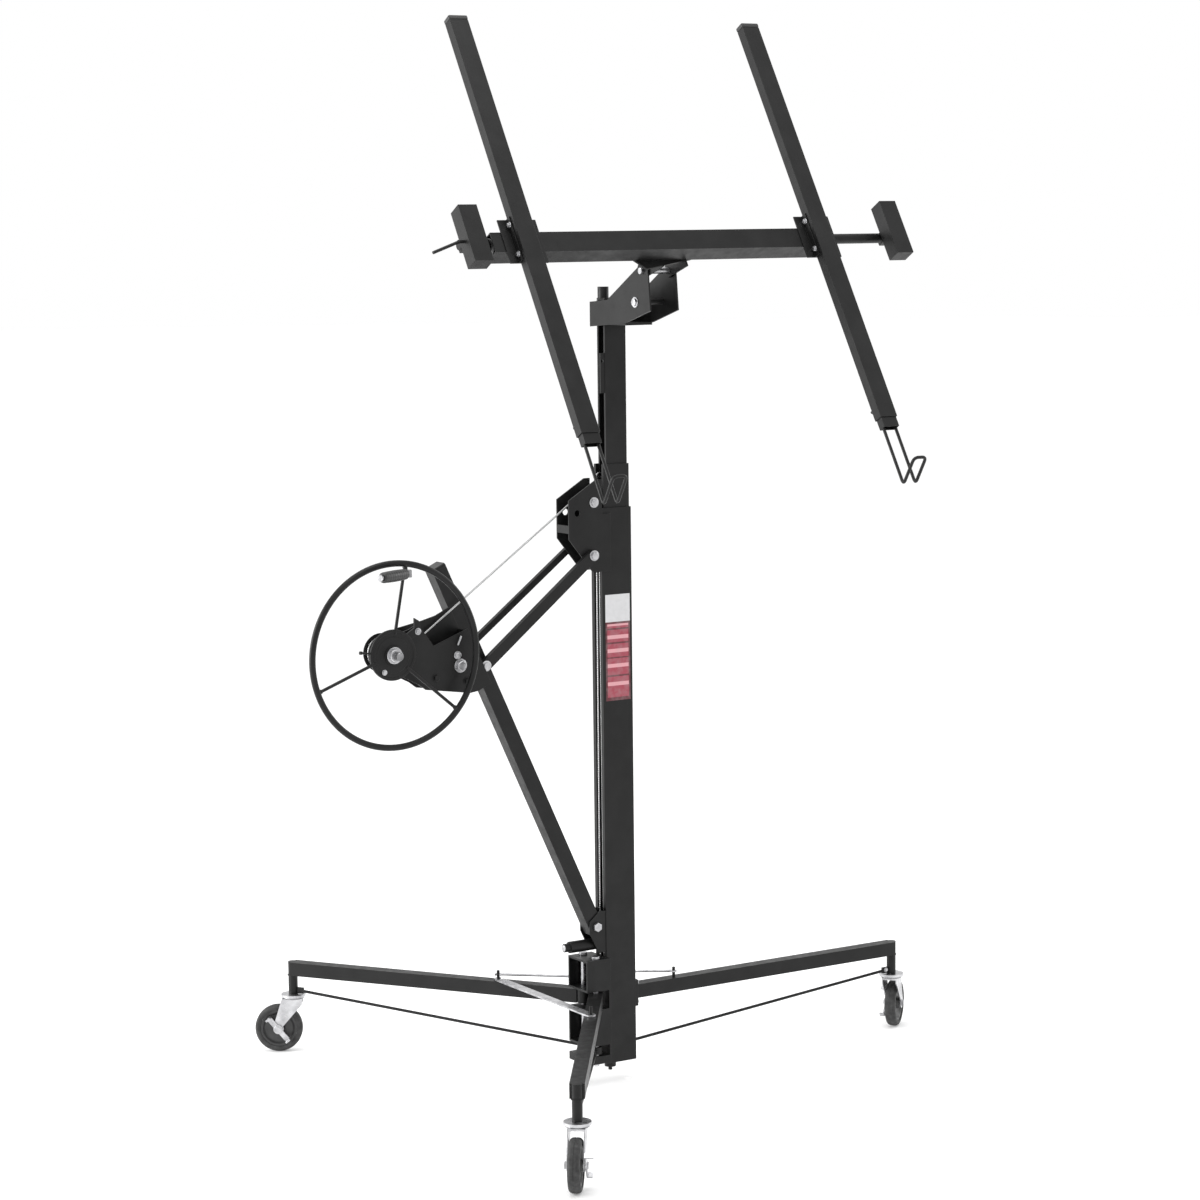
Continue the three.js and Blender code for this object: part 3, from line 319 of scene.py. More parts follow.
def printed_label():
    """A vinyl sticker: a pale grey block over red, with plain pale and dark bands."""
    material, shader = start_material("striped_vinyl_label", 0.35)
    nodes = material.node_tree.nodes
    place = nodes.new("ShaderNodeTexCoord")
    split = nodes.new("ShaderNodeSeparateXYZ")
    link(material, place.outputs["Generated"], split.inputs["Vector"])
    red, pale, dark = (0.31, 0.045, 0.07), (0.66, 0.31, 0.34), (0.1, 0.012, 0.02)
    block_grey, top = (0.6, 0.6, 0.61), 0.74
    stops = [(0.0, dark), (0.03, red)]
    for level in (0.14, 0.31, 0.45, 0.58):
        stops += [(level, pale), (level + 0.035, red), (level + 0.085, dark), (level + 0.1, red)]
    stops += [(0.7, pale), (0.72, dark), (top, block_grey)]
    bands = ramp(material, split.outputs["Z"], stops, "CONSTANT")
    border = [(0.0, (0.09, 0.012, 0.018)), (top, block_grey)]
    margin = ramp(material, split.outputs["Z"], border, "CONSTANT")
    sides = ramp(material, split.outputs["X"], [(0.0, 1.0), (0.07, 0.0), (0.93, 1.0)], "CONSTANT")
    printed = mix(material, sides, bands, margin)
    faded = ramp(material, noise(material, 60, 5), [(0.4, 0.0), (0.9, 0.35)])
    haze = ramp(material, noise(material, 25, 2), [(0.0, 0.3), (1.0, 0.42)])
    link(material, mix(material, faded, printed, haze), shader.inputs["Base Color"])
    bump(material, shader, noise(material, 120, 2), 0.1, 0.1)
    return material


def pale_floor():
    material, shader = start_material("pale_floor", 0.6)
    colour = ramp(material, noise(material, 2, 3), [(0.3, 0.86), (0.7, 0.9)])
    link(material, colour, shader.inputs["Base Color"])
    shader.inputs["Emission Color"].default_value = (1, 1, 1, 1)
    shader.inputs["Emission Strength"].default_value = 0.14
    return material


COAT = powder_coat()
ZINC = zinc_plate()
DULL_ZINC = zinc_plate("dull_zinc_plate", 0.34, 0.16)
TYRE = rubber()
GREY = moulded_plastic("wheel_hub_plastic", 0.022, 0.04, 0.38, 0.55)
BLACK = moulded_plastic("black_moulded_plastic", 0.012, 0.022, 0.35, 0.5)
ROPE = wire_rope()
STICKER = printed_label()


# ---------------------------------------------------------------- surfaces
def smooth_group():
    """A modifier that welds split corners and leaves only sharp angles unsmoothed."""
    group = bpy.data.node_groups.new("smooth_by_angle", "GeometryNodeTree")
    group.interface.new_socket("Geometry", in_out="INPUT", socket_type="NodeSocketGeometry")
    group.interface.new_socket("Geometry", in_out="OUTPUT", socket_type="NodeSocketGeometry")
    nodes, links = group.nodes, group.links
    start = nodes.new("NodeGroupInput")
    merge = nodes.new("GeometryNodeMergeByDistance")
    merge.inputs["Distance"].default_value = 1e-5
    angle = nodes.new("GeometryNodeInputMeshEdgeAngle")
    sharp = nodes.new("FunctionNodeCompare")
    sharp.operation = "GREATER_THAN"
    sharp.inputs["B"].default_value = math.radians(40)
    normal = nodes.new("GeometryNodeSetMeshNormal")
    normal.mode = "SHARPNESS"
    normal.inputs["Remove Custom"].default_value = True
    end = nodes.new("NodeGroupOutput")
    links.new(start.outputs[0], merge.inputs["Geometry"])
    links.new(merge.outputs[0], normal.inputs["Mesh"])
    links.new(angle.outputs["Unsigned Angle"], sharp.inputs["A"])
    links.new(sharp.outputs[0], normal.inputs["Edge Sharpness"])
    links.new(normal.outputs[0], end.inputs[0])
    return group


SMOOTH = smooth_group()


def round_edges(piece, width_mm, segments=2):
    """Softens a piece's hard edges by the given width and shades the rest smooth."""
    weld = piece.modifiers.new("smooth", "NODES")
    weld.node_group = SMOOTH
    if width_mm:
        flat = piece.modifiers.new("one face per plane", "DECIMATE")
        flat.decimate_type = "DISSOLVE"
        flat.angle_limit = math.radians(1)
        bevel = piece.modifiers.new("edge radius", "BEVEL")
        bevel.width = width_mm * MM
        bevel.segments = segments
        bevel.limit_method = "ANGLE"
        bevel.angle_limit = math.radians(42)
        bevel.use_clamp_overlap = True
    weighted = piece.modifiers.new("flat faces", "WEIGHTED_NORMAL")
    weighted.keep_sharp = True


def finish_node(name, material, width_mm):
    """Gives a carried-over CAD node its finish and softened edges."""
    node = frame["nodes"][name]
    node.data.materials.clear()
    node.data.materials.append(material)
    round_edges(node, width_mm)


def add_piece(name, body, place, material, draw, replaced=(), edge_mm=0.0):
    """Makes one piece: draw(mesh) adds its shape in mm; it rides on a body of the frame."""
    work = bmesh.new()
    draw(work)
    bmesh.ops.remove_doubles(work, verts=work.verts, dist=1e-4)
    bmesh.ops.recalc_face_normals(work, faces=work.faces)
    bmesh.ops.scale(work, vec=(MM, MM, MM), verts=work.verts)
    mesh = bpy.data.meshes.new(name)
    work.to_mesh(mesh)
    work.free()
    mesh.transform(place)
    piece = bpy.data.objects.new(name, mesh)
    bpy.context.scene.collection.objects.link(piece)
    mesh.materials.append(material)
    round_edges(piece, edge_mm)
    if body:
        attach(piece, body)
    if replaced:
        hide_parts(*replaced)
    return piece


# ---------------------------------------------------------------- shapes, in mm
def ring_faces(work, rings, closed_round=True):
    """Skins between successive rings of vertices."""
    for first, second in zip(rings, rings[1:]):
        count = len(first)
        for i in range(count if closed_round else count - 1):
            j = (i + 1) % count
            corners = [first[i], first[j], second[j], second[i]]
            work.faces.new(corners)


def turned(work, profile, segments=64, centre=(0, 0, 0), axis="Y"):
    """A body turned about an axis; profile points are [radius, along], closed on itself."""
    middle = Vector(centre)
    rings = []
    for radius, along in [*profile, profile[0]]:
        ring = []
        for i in range(segments):
            angle = 2 * math.pi * i / segments
            across = (max(radius, 0.01) * math.cos(angle), max(radius, 0.01) * math.sin(angle))
            point = (across[0], along, across[1]) if axis == "Y" else (across[0], across[1], along)
            ring.append(work.verts.new(middle + Vector(point)))
        rings.append(ring)
    ring_faces(work, rings)


def bowed(points, steps=5):
    """Rounds the corners of a profile given as (radius, along, corner radius) triples."""
    smooth = []
    count = len(points)
    for i, (x, y, r) in enumerate(points):
        here = Vector((x, y))
        if not r:
            smooth.append((x, y))
            continue
        before = Vector(points[i - 1][:2])
        after = Vector(points[(i + 1) % count][:2])
        start = here + (before - here).normalized() * r
        end = here + (after - here).normalized() * r
        for k in range(steps + 1):
            t = k / steps
            spot = start * (1 - t) ** 2 + here * 2 * t * (1 - t) + end * t * t
            smooth.append((spot.x, spot.y))
    return smooth


def swept(work, points, radius, sides=14, closed=False):
    """A round wire along a path, without twist, with flat ends."""
    path = [Vector(p) for p in points]
    count = len(path)
    normal = None
    rings = []
    for i, point in enumerate(path):
        if closed:
            ahead = path[(i + 1) % count] - path[i - 1]
        else:
            ahead = path[min(i + 1, count - 1)] - path[max(i - 1, 0)]
        ahead.normalize()
        if normal is None:
            normal = ahead.orthogonal().normalized()
        normal = (normal - ahead * normal.dot(ahead)).normalized()
        other = ahead.cross(normal)
        angles = [2 * math.pi * k / sides for k in range(sides)]
        rings.append([
            work.verts.new(point + (normal * math.cos(a) + other * math.sin(a)) * radius) for a in angles
        ])
    if closed:
        rings.append(rings[0])
    else:
        work.faces.new(rings[0])
        work.faces.new(rings[-1])
    ring_faces(work, rings)


def rounded_path(corners, bend, steps=8):
    """A path through corner points whose inner corners are rounded."""
    given = [Vector(c) for c in corners]
    path = [given[0]]
    for before, here, after in zip(given, given[1:], given[2:]):
        start = here + (before - here).normalized() * bend
        end = here + (after - here).normalized() * bend
        for k in range(steps + 1):
            t = k / steps
            path.append(start * (1 - t) ** 2 + here * 2 * t * (1 - t) + end * t * t)
    path.append(given[-1])
    return path


def prism(work, outline, low, high, axis="Z"):
    """A plate whose outline lies across an axis: X-Z points for Y, X-Y points for Z."""
    def corner(a, b, along):
        return (a, along, b) if axis == "Y" else (a, b, along)
    rings = [[work.verts.new(corner(a, b, along)) for a, b in outline] for along in (low, high)]
    work.faces.new(rings[0])
    work.faces.new(rings[1])
    ring_faces(work, rings)


def block(work, x0, x1, y0, y1, z0, z1):
    prism(work, [(x0, y0), (x1, y0), (x1, y1), (x0, y1)], z0, z1)


def polygon(radius, sides, start=0.0):
    angles = [start + 2 * math.pi * i / sides for i in range(sides)]
    return [(radius * math.cos(a), radius * math.sin(a)) for a in angles]


def rectangle_tube(work, x, y, wall, low, high):
    """An open-ended rectangular tube along Z, half sizes x and y."""
    outer = [(-x, -y), (x, -y), (x, y), (-x, y)]
    inner = [(a * (1 - wall / x), b * (1 - wall / y)) for a, b in outer]
    rings = [
        [work.verts.new((a, b, along)) for a, b in outline]
        for outline, along in ((outer, low), (outer, high), (inner, high), (inner, low), (outer, low))
    ]
    ring_faces(work, rings)


# ---------------------------------------------------------------- fasteners
def hex_bolt(work, across, height):
    """A hex head on a washer, standing along +Z from the origin."""
    rim = across * 0.78
    turned(work, bowed([(0, 0, 0), (rim, 0, 0.4), (rim, WASHER, 0.5), (0, WASHER, 0)]), 32, axis="Z")
    corner = across / math.sqrt(3)
    levels = [(corner, WASHER), (corner, WASHER + height * 0.82), (corner * 0.86, WASHER + height)]
    rings = [[work.verts.new((a, b, z)) for a, b in polygon(r, 6)] for r, z in levels]
    work.faces.new(rings[0])
    work.faces.new(rings[-1])
    ring_faces(work, rings)


def nut_and_stud(work, across, height, stud_r, stud):
    """A chamfered nut with the end of its stud showing."""
    hex_bolt(work, across, height)
    end = WASHER + height + stud
    turned(work, bowed([(0, 0, 0), (stud_r, 0, 0), (stud_r, end, 0.8), (0, end, 0)]), 24, axis="Z")


def add_bolt(name, body, place, across=13, height=5, material=None):
    draw = lambda work: hex_bolt(work, across, height)
    return add_piece(name, body, place, material or ZINC, draw, edge_mm=0.3)


def star_knob(work, radius, height):
    """A five-lobed clamping knob on a short collar, along +Z."""
    collar = height * 0.45
    turned(work, [(0, 0), (radius * 0.5, 0), (radius * 0.45, collar), (0, collar)], 32, axis="Z")
    outline = []
    for i in range(60):
        angle = 2 * math.pi * i / 60
        reach = radius * (0.86 + 0.14 * math.cos(5 * angle))
        outline.append((reach * math.cos(angle), reach * math.sin(angle)))
    prism(work, outline, height * 0.4, height)


# ---------------------------------------------------------------- casters
def draw_tyre(work):
    """A rounded tread with two fine moulding grooves."""
    half = TYRE_WIDTH / 2
    side = [(RIM_OUTER, -half + 0.6, 0), (RIM_OUTER + 5, -half, 1), (WHEEL_R - 5, -half + 0.4, 3)]
    tread = [(WHEEL_R - 0.2, 6 - half, 3), (WHEEL_R, -1.2, 0), (WHEEL_R - 0.7, -0.6, 0)]
    near = [*side, *tread]
    far = [(r, -y, bend) for r, y, bend in reversed(near)]
    turned(work, bowed([*near, *far]), 96)


def draw_rim(work):
    """A dished hub with a bead against the tyre and a bearing boss."""
    half = [(6.4, -16, 0), (14, -16, 1), (17, -6, 3), (38, -5, 4), (43, -12, 2), (48.7, -12.5, 0.6)]
    other = [(r, -y, bend) for r, y, bend in reversed(half)]
    turned(work, bowed([*half, *other]), 72)


def draw_axle(work):
    """The axle bolt: a hex head outside one fork plate and a locking nut outside the other."""
    near, long_end, washer_end = -FORK_OUTSIDE, FORK_OUTSIDE + 8, 1.2 - FORK_OUTSIDE
    turned(work, bowed([(0, near, 0), (6, near, 0), (6, long_end, 1), (0, long_end, 0)]), 32)
    prism(work, polygon(9, 6), near - 5.5, near, "Y")
    washer = [(6, near, 0), (9.5, near, 0), (9.5, washer_end, 0.3), (6, washer_end, 0)]
    turned(work, bowed(washer), 32)
    prism(work, polygon(8.6, 6), long_end - 3, long_end - 0.2, "Y")


def draw_race(work):
    """The swivel's dust ring between the fork's crown and its top plate."""
    ring = [(24, 144, 0), (28.5, 144, 0.8), (29.5, 147, 1), (28, 150, 0.6), (24, 150, 0)]
    turned(work, bowed(ring), 64, axis="Z")


def add_caster(name):
    wheel = joint_place(f"{name}_wheel_turn")
    pivot = Matrix.Translation(Vector(JOINTS[f"{name}_caster_swivel"]["pos_m"]).xy.to_3d())
    add_piece(f"{name}_tyre_tread", f"{name}_wheel", wheel, TYRE, draw_tyre, [f"{name}_caster_tyre"])
    add_piece(f"{name}_wheel_hub", f"{name}_wheel", wheel, GREY, draw_rim, [f"{name}_caster_rim"])
    axle_body = frame["nodes"][f"{name}_caster_axle"]["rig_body"]
    add_piece(f"{name}_axle_bolt", axle_body, wheel, ZINC, draw_axle, [f"{name}_caster_axle"], 0.3)
    add_piece(f"{name}_swivel_race", f"{name}_fork", pivot, DULL_ZINC, draw_race)


# ---------------------------------------------------------------- legs
def add_leg_details(name, body, stem_x):
    place = leg_place(name)
    add_bolt(f"{name}_rod_bolt", body, facing(place, stem_x - 21, -3, CASTER_TOP + 11, (0, -1, 0)), 8, 3)
    ring = [
        (stem_x + (STEM_R + 0.5) * math.cos(a), (STEM_R + 0.5) * math.sin(a), LEG_TOP - LEG_SIZE - 0.5)
        for a in (2 * math.pi * i / 40 for i in range(40))
    ]
    bead = lambda work: swept(work, ring, 1.8, 10, closed=True)
    add_piece(f"{name}_stem_weld", body, place, COAT, bead)


def add_flange_bolts():
    for i, (y, z) in enumerate([(-15, 199), (15, 199), (-15, 251), (15, 251)]):
        place = facing(mast_place(), 52.3, y, z, (1, 0, 0))
        add_bolt(f"leg_flange_bolt_{i + 1}", "base", place, 10, 4)


def peg_point(side):
    return (
        LEG_PIN[0] + PEG["along"] * math.cos(SIDE_LEG_ANGLE),
        side * (LEG_PIN[1] + PEG["along"] * math.sin(SIDE_LEG_ANGLE)),
    )


def draw_lock_rod(work):
    """The cranked rod: one closed eye and one open hook, with a smooth round bar between."""
    x, y = peg_point(1)
    bar = rounded_path([(x + 6, y - 1, LOCK_Z), (-30, 64, LOCK_Z), (84, 60, LOCK_Z),
                        (LOCK_PEG_X - 4, 5, LOCK_Z)], 20)
    swept(work, bar, 3.5, 14)
    eye = [(LOCK_PEG_X + 6.8 * math.cos(a), 6.8 * math.sin(a), LOCK_Z)
           for a in (2 * math.pi * i / 32 for i in range(32))]
    swept(work, eye, 2.2, 12, closed=True)
    hook = [(x + 7.4 * math.cos(a), y + 7.4 * math.sin(a), LOCK_Z)
            for a in (math.radians(-85 + 265 * i / 28) for i in range(29))]
    swept(work, hook, 2.6, 12)


# ---------------------------------------------------------------- winch
def wheel_point(angle, radius, y):
    a = math.radians(angle)
    return (radius * math.cos(a), y, radius * math.sin(a))


def draw_rim_and_spokes(work):
    rim = [wheel_point(360 * i / 160, RIM["r"], RIM["y"]) for i in range(160)]
    swept(work, rim, RIM["tube"] - 0.2, 20, closed=True)
    r, y = RIM["r"], RIM["y"]
    for angle in SPOKE_ANGLES:
        swept(work, [wheel_point(angle, HUB_DISC["r"] - 12, -107), wheel_point(angle, r - 2, y)], 4, 16)
        swept(work, [wheel_point(angle, r - 11, y + 0.5), wheel_point(angle, r - 5, y)], 5.4, 16)
    grip_angle = SPOKE_ANGLES[0]
    swept(work, [wheel_point(grip_angle, r - 22, y - 9), wheel_point(grip_angle, r, y)], 5, 16)


def draw_hub_disc(work):
    """The friction disc: a rounded edge, a shallow ring in its face and a boss in the middle."""
    y0, y1, r = HUB_DISC["y0"], HUB_DISC["y1"], HUB_DISC["r"]
    bore = SHAFT_BORE_R
    face = [(bore, y0 - 4, 0), (24, y0 - 4, 1), (25, y0, 1), (44, y0, 0.6), (45, y0 + 1.2, 0.4)]
    edge = [(54, y0 + 1.2, 0.4), (55, y0, 0.6), (r, y0, 2.4), (r, y1, 2.4)]
    boss = [(24, y1, 1), (24, -92, 1), (bore, -92, 0)]
    turned(work, bowed([*face, *edge, *boss]), 96)


def draw_nut(work):
    """A flanged hex nut on the shaft's threaded end."""
    y = HUB_DISC["y0"] - 4.3
    prism(work, polygon(18, 6, 0.3), y - 12.5, y - 2.5, "Y")
    bore = SHAFT_BORE_R
    turned(work, bowed([(bore, y - 3, 0), (20.5, y - 3, 0.6), (20.5, y, 0.6), (bore, y, 0)]), 48)
    turned(work, bowed([(12, y - 13.6, 0), (15.2, y - 13.6, 0.6), (16.6, y - 12, 0), (12, y - 12, 0)]), 48)


def draw_drum(work):
    """The drum barrel between its two flanges, with the far end of the shaft."""
    low, high = DRUM_Y
    flange = DRUM_CABLE_R + 9
    core = DRUM_CABLE_R - 3.3
    near_flange = [(0, low - 4, 0), (flange, low - 4, 2), (flange, low, 1.2)]
    barrel = [(core, low, 1), (core, high, 1)]
    far_flange = [(flange, high, 1.2), (flange, high + 4, 2)]
    journal = [(SHAFT_R, high + 4, 1), (SHAFT_R, -18, 0), (0, -18, 0)]
    turned(work, bowed([*near_flange, *barrel, *far_flange, *journal]), 96)


def draw_crank_shaft(work):
    """The shaft from its chamfered outer end to the drum."""
    tip, end, r = SHAFT_END_Y, DRUM_Y[0] - 4.2, SHAFT_R
    turned(work, bowed([(0, tip, 0), (r - 2, tip, 0), (r, tip + 2, 0), (r, end, 0), (0, end, 0)]), 64)


def draw_ratchet(work):
    teeth, r, depth = RATCHET["teeth"], RATCHET["r"], RATCHET["depth"]
    outline = []
    for i in range(2 * teeth):
        angle = (i + (i % 2) * 0.6) / (2 * teeth) * 2 * math.pi - TUBE_LEAN
        reach = r if i % 2 == 0 else r - depth
        outline.append((reach * math.cos(angle), reach * math.sin(angle)))
    prism(work, outline, -90, -84, "Y")
    for i in range(6):
        hole = 2 * math.pi * i / 6
        spot = (28 * math.cos(hole), 0, 28 * math.sin(hole))
        turned(work, [(0, -91.5), (3.2, -91.5), (3.6, -90), (0, -90)], 20, spot)


def draw_cable_wraps(work):
    """One turn of cable that turns with the drum, a turn's width clear of the live turn."""
    steps = 72
    start, low = drum_wrap_start(), live_turn_y(0) - 2 * CABLE_PITCH
    path = [
        wheel_point(start + 360 * (1 - i / steps), DRUM_CABLE_R, low + CABLE_PITCH * i / steps)
        for i in range(steps + 1)
    ]
    swept(work, path, CABLE_R, 10)


def draw_grip_stem(work):
    turned(work, bowed([(0, -9, 0), (7, -9, 1), (7, 9, 1), (0, 9, 0)]), 32, axis="Z")
    end = -GRIP["length"] - 10
    swept(work, [(-4, 0, 0), (end, 0, 0)], 5, 20)
    swept(work, [(end, 0, 0), (end - 5.5, 0, 0)], 8, 28)


def draw_grip_sleeve(work):
    """A tapered plastic sleeve with shallow finger rings, around the spindle."""
    length = GRIP["length"] - 2
    steps = 44
    outer = []
    for i in range(steps + 1):
        t = i / steps
        swell = 1.4 * math.sin(math.pi * t) - 2.4 * max(0, 1 - 20 * t) - 2.4 * max(0, 20 * t - 19)
        ring = -0.5 if 3 < i < steps - 3 and i % 4 == 0 else 0.0
        outer.append((min(GRIP["r"], GRIP["r"] - 1.4 + swell + ring), t * length))
    turned(work, [(5.3, 0), *outer, (5.3, length)], 48)


def add_handwheel():
    crank = joint_place("crank_turn")
    add_piece("handwheel_rim", "crank", crank, COAT, draw_rim_and_spokes, ["handwheel"])
    add_piece("handwheel_disc", "crank", crank, COAT, draw_hub_disc)
    add_piece("shaft_nut", "crank", crank, ZINC, draw_nut, ["handwheel_nut"], 0.5)
    add_piece("drum_barrel", "crank", crank, COAT, draw_drum, ["cable_drum"])
    add_piece("crank_shaft", "crank", crank, DULL_ZINC, draw_crank_shaft)
    add_piece("ratchet_wheel", "crank", crank, DULL_ZINC, draw_ratchet, edge_mm=0.5)
    add_piece("cable_wraps", "crank", crank, ROPE, draw_cable_wraps)
    stop = [wheel_point(172, HUB_DISC["r"] - 4, -106), wheel_point(172, HUB_DISC["r"] + 22, -106)]
    knob = [wheel_point(172, HUB_DISC["r"] + 21, -106), wheel_point(172, HUB_DISC["r"] + 28, -106)]

    def draw_stop(work):
        swept(work, stop, 2.6, 14)
        swept(work, knob, 4.2, 18)

    add_piece("disc_stop_pin", "crank", crank, COAT, draw_stop, edge_mm=0.5)
    x, y, z = wheel_point(238, 47, HUB_DISC["y0"])
    add_bolt("disc_screw", "crank", facing(crank, x, y + 0.6, z, (0, -1, 0)), 9, 3)
    fold = Matrix.Rotation(math.radians(GRIP["fold"]), 4, "Z")
    stem = Matrix.Translation(JOINTS["grip_fold"]["pos_m"]) @ fold
    add_piece("grip_spindle", "crank_stem", stem, DULL_ZINC, draw_grip_stem, ["crank_stem"], 0.6)
    sleeve = stem @ Matrix.Translation((-11 * MM, 0, 0)) @ Matrix.Rotation(math.pi / 2, 4, "Z")
    add_piece("grip_sleeve", "crank_grip", sleeve, BLACK, draw_grip_sleeve, ["crank_grip"])


def add_winch_details():
    place = winch_place()
    near = WINCH_NEAR_Y
    add_bolt("winch_clamp_bolt", "winch_frame", facing(place, -78, near, 824, (0, -1, 0)), 22, 9)
    add_bolt("winch_guide_bolt", "winch_frame", facing(place, -74, near, 851, (0, -1, 0)), 13, 5)
    slot = [(-64, near - 2.6, 874), (-46, near - 2.6, 889)]
    clip = lambda work: swept(work, slot, 2.6, 14)
    add_piece("pawl_spring_clip", "winch_frame", place, ZINC, clip, edge_mm=0.6)
    for i, (x, z) in enumerate([(-78, 780), (-150, 830)]):
        spot = facing(place, x, near, z, (0, -1, 0))
        add_bolt(f"winch_stay_bolt_{i + 1}", "winch_frame", spot, 13, 5, COAT)
    add_bolt("pawl_pin_head", "winch_frame", facing(place, -150, -90.5, 962, (0, -1, 0)), 11, 4)
    add_bolt("near_brace_bolt", "winch_frame", facing(place, 0, -BRACE_OUT["near"], 774, (0, -1, 0)), 17, 5)
    add_bolt("far_brace_bolt", "winch_frame", facing(place, 0, BRACE_OUT["far"], 808, (0, 1, 0)), 17, 5)

    def draw_cap(work):
        half = TUBE_HALF - 0.4
        block(work, -half, half, -half, half, TUBE_LENGTH, TUBE_LENGTH + 3)
        block(work, 3 - half, half - 3, 3 - half, half - 3, TUBE_LENGTH - 18, TUBE_LENGTH)

    add_piece("winch_tube_cap", "winch_frame", place, BLACK, draw_cap, edge_mm=1.2)


# ---------------------------------------------------------------- mast details
def draw_pulley(sheave, steps=16):
    """A sheave with a rounded cable groove; returns the drawing function."""
    groove = sheave["r"] - CABLE_R - 0.8
    half = sheave["half"]
    bore = sheave["axle"] + 0.4
    lip = groove + 5
    groove_arc = [
        (groove + (1 - math.cos(t)) * 4.2, math.sin(t) * (half - 1))
        for t in (math.radians(-90 + 180 * i / steps) for i in range(steps + 1))
    ]
    near_lip = [(bore, -half), (lip, -half), (lip, 1 - half)]
    far_lip = [(lip, half - 1), (lip, half), (bore, half)]
    profile = [*near_lip, *groove_arc[1:-1], *far_lip]
    return lambda work: turned(work, profile, 72)


def add_pulleys():
    add_piece("top_pulley_wheel", "top_pulley", joint_place("top_pulley_turn"), BLACK,
              draw_pulley(TOP_PULLEY), ["top_pulley"])
    add_piece("upper_sheave_wheel", "upper_sheave", joint_place("upper_sheave_turn"), DULL_ZINC,
              draw_pulley(UPPER_SHEAVE), ["upper_sheave"])
    add_piece("lower_sheave_wheel", "lower_sheave", joint_place("lower_sheave_turn"), DULL_ZINC,
              draw_pulley(LOWER_SHEAVE), ["lower_sheave"])


def add_mast_details():
    mast = mast_place()
    add_piece("striped_label", "base", mast, STICKER, lambda work: block(
        work, LABEL["x0"], LABEL["x1"], MAST_FRONT_Y - 0.3, MAST_FRONT_Y - 0.05, LABEL["z0"], LABEL["z1"]))
    for side in (-1, 1):
        spot = facing(mast, TOP_PULLEY["x"], side * 30.4, TOP_PULLEY["z"], (0, side, 0))
        add_piece(f"pulley_nut_{side + 2}", "base", spot, ZINC,
                  lambda work: nut_and_stud(work, 17, 5, 5.4, 1), edge_mm=0.3)
        spot = facing(mast, side * 42.4, -189, 2002, (side, 0, 0))
        add_bolt(f"yoke_stay_nut_{side + 2}", "inner", spot, 17, 5)
    add_bolt("near_brace_pin_nut", "base", facing(mast, -79, -BRACE_OUT["near"], 1368, (0, -1, 0)), 17, 6)
    add_bolt("far_brace_pin_nut", "base", facing(mast, -92, BRACE_OUT["far"], 1390, (0, 1, 0)), 17, 6)
    end = facing(mast, -155.2, 0, 364, (-1, 0, 0))
    add_piece("plunger_button", "base", end, ZINC, lambda work: turned(
        work, bowed([(0, 0, 0), (8.5, 0, 0), (8.5, 1.6, 1), (0, 2, 0)]), 40, axis="Z"))


# ---------------------------------------------------------------- cable
def arc(start, end, steps, place):
    return [place(math.radians(start + (end - start) * i / steps), i / steps) for i in range(steps + 1)]


def drum_centre():
    offset = Vector(JOINTS["crank_turn"]["pos_m"]) - mast_place().translation
    return offset / MM


def cable_slope():
    """The angle of the run from the drum's lower side up to the top pulley, in degrees."""
    hub = drum_centre()
    reach = Vector((TOP_PULLEY["x"] - hub.x, TOP_PULLEY["z"] - hub.z))
    crossing = math.asin((DRUM_CABLE_R + TOP_PULLEY["r"]) / reach.length)
    return math.degrees(math.atan2(reach.y, reach.x) + crossing)


def drum_wrap_start():
    return cable_slope() + 270


def live_turn_y(part):
    """How far along the drum the live turn lies, from its start to where it leaves."""
    return DRUM_Y[1] - CABLE_R - 1 - CABLE_PITCH * (1 - part)


def upper_route():
    """Off the drum, up to the top pulley and over it."""
    hub = drum_centre()
    slope = cable_slope()
    on_drum = arc(slope + 270, slope - 90, 72, lambda a, t: (
        hub.x + DRUM_CABLE_R * math.cos(a), live_turn_y(t), hub.z + DRUM_CABLE_R * math.sin(a)))
    over = arc(slope + 90, 0, 24, lambda a, t: (
        TOP_PULLEY["x"] + TOP_PULLEY["r"] * math.cos(a), TOP_PULLEY["y"],
        TOP_PULLEY["z"] + TOP_PULLEY["r"] * math.sin(a)))
    start, end = Vector(on_drum[-1]), Vector(over[0])
    between = [start.lerp(end, i / 40) for i in range(1, 40)]
    return on_drum, between, over


def straight(start, end, steps=24):
    return [Vector(start).lerp(Vector(end), i / steps) for i in range(steps + 1)]


def add_cable():
    mast = mast_place()
    on_drum, between, over = upper_route()
    rope = add_piece("winch_rope", None, mast, ROPE, lambda work: swept(
        work, [*on_drum, *between, *over], CABLE_R, 10), ["winch_cable"])
    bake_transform(rope)

    low = LOWER_SHEAVE
    high = UPPER_SHEAVE
    top = (TOP_PULLEY["x"] + TOP_PULLEY["r"], TOP_PULLEY["y"], TOP_PULLEY["z"])
    bottom = (low["x"], low["y"] - low["r"], low["z"])
    drop = add_piece("rope_drop", "base", mast, ROPE, lambda work: swept(
        work, straight(top, bottom), CABLE_R, 10))
    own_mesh(drop)

    under = arc(180, 360, 16, lambda a, t: (
        low["x"], low["y"] + low["r"] * math.cos(a), low["z"] + low["r"] * math.sin(a)))
    above = arc(180, 0, 16, lambda a, t: (
        high["x"] + high["r"] * math.cos(a), high["y"], high["z"] + high["r"] * math.sin(a)))
    add_piece("rope_loop", "middle", mast, ROPE, lambda work: swept(work, [*under, *above], CABLE_R, 10))

    leave = above[-1]
    anchor = (leave[0], leave[1], ANCHOR_Z + 0.5)
    last = add_piece("rope_anchor_run", "middle", mast, ROPE, lambda work: swept(
        work, straight(leave, anchor), CABLE_R, 10))
    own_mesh(last)


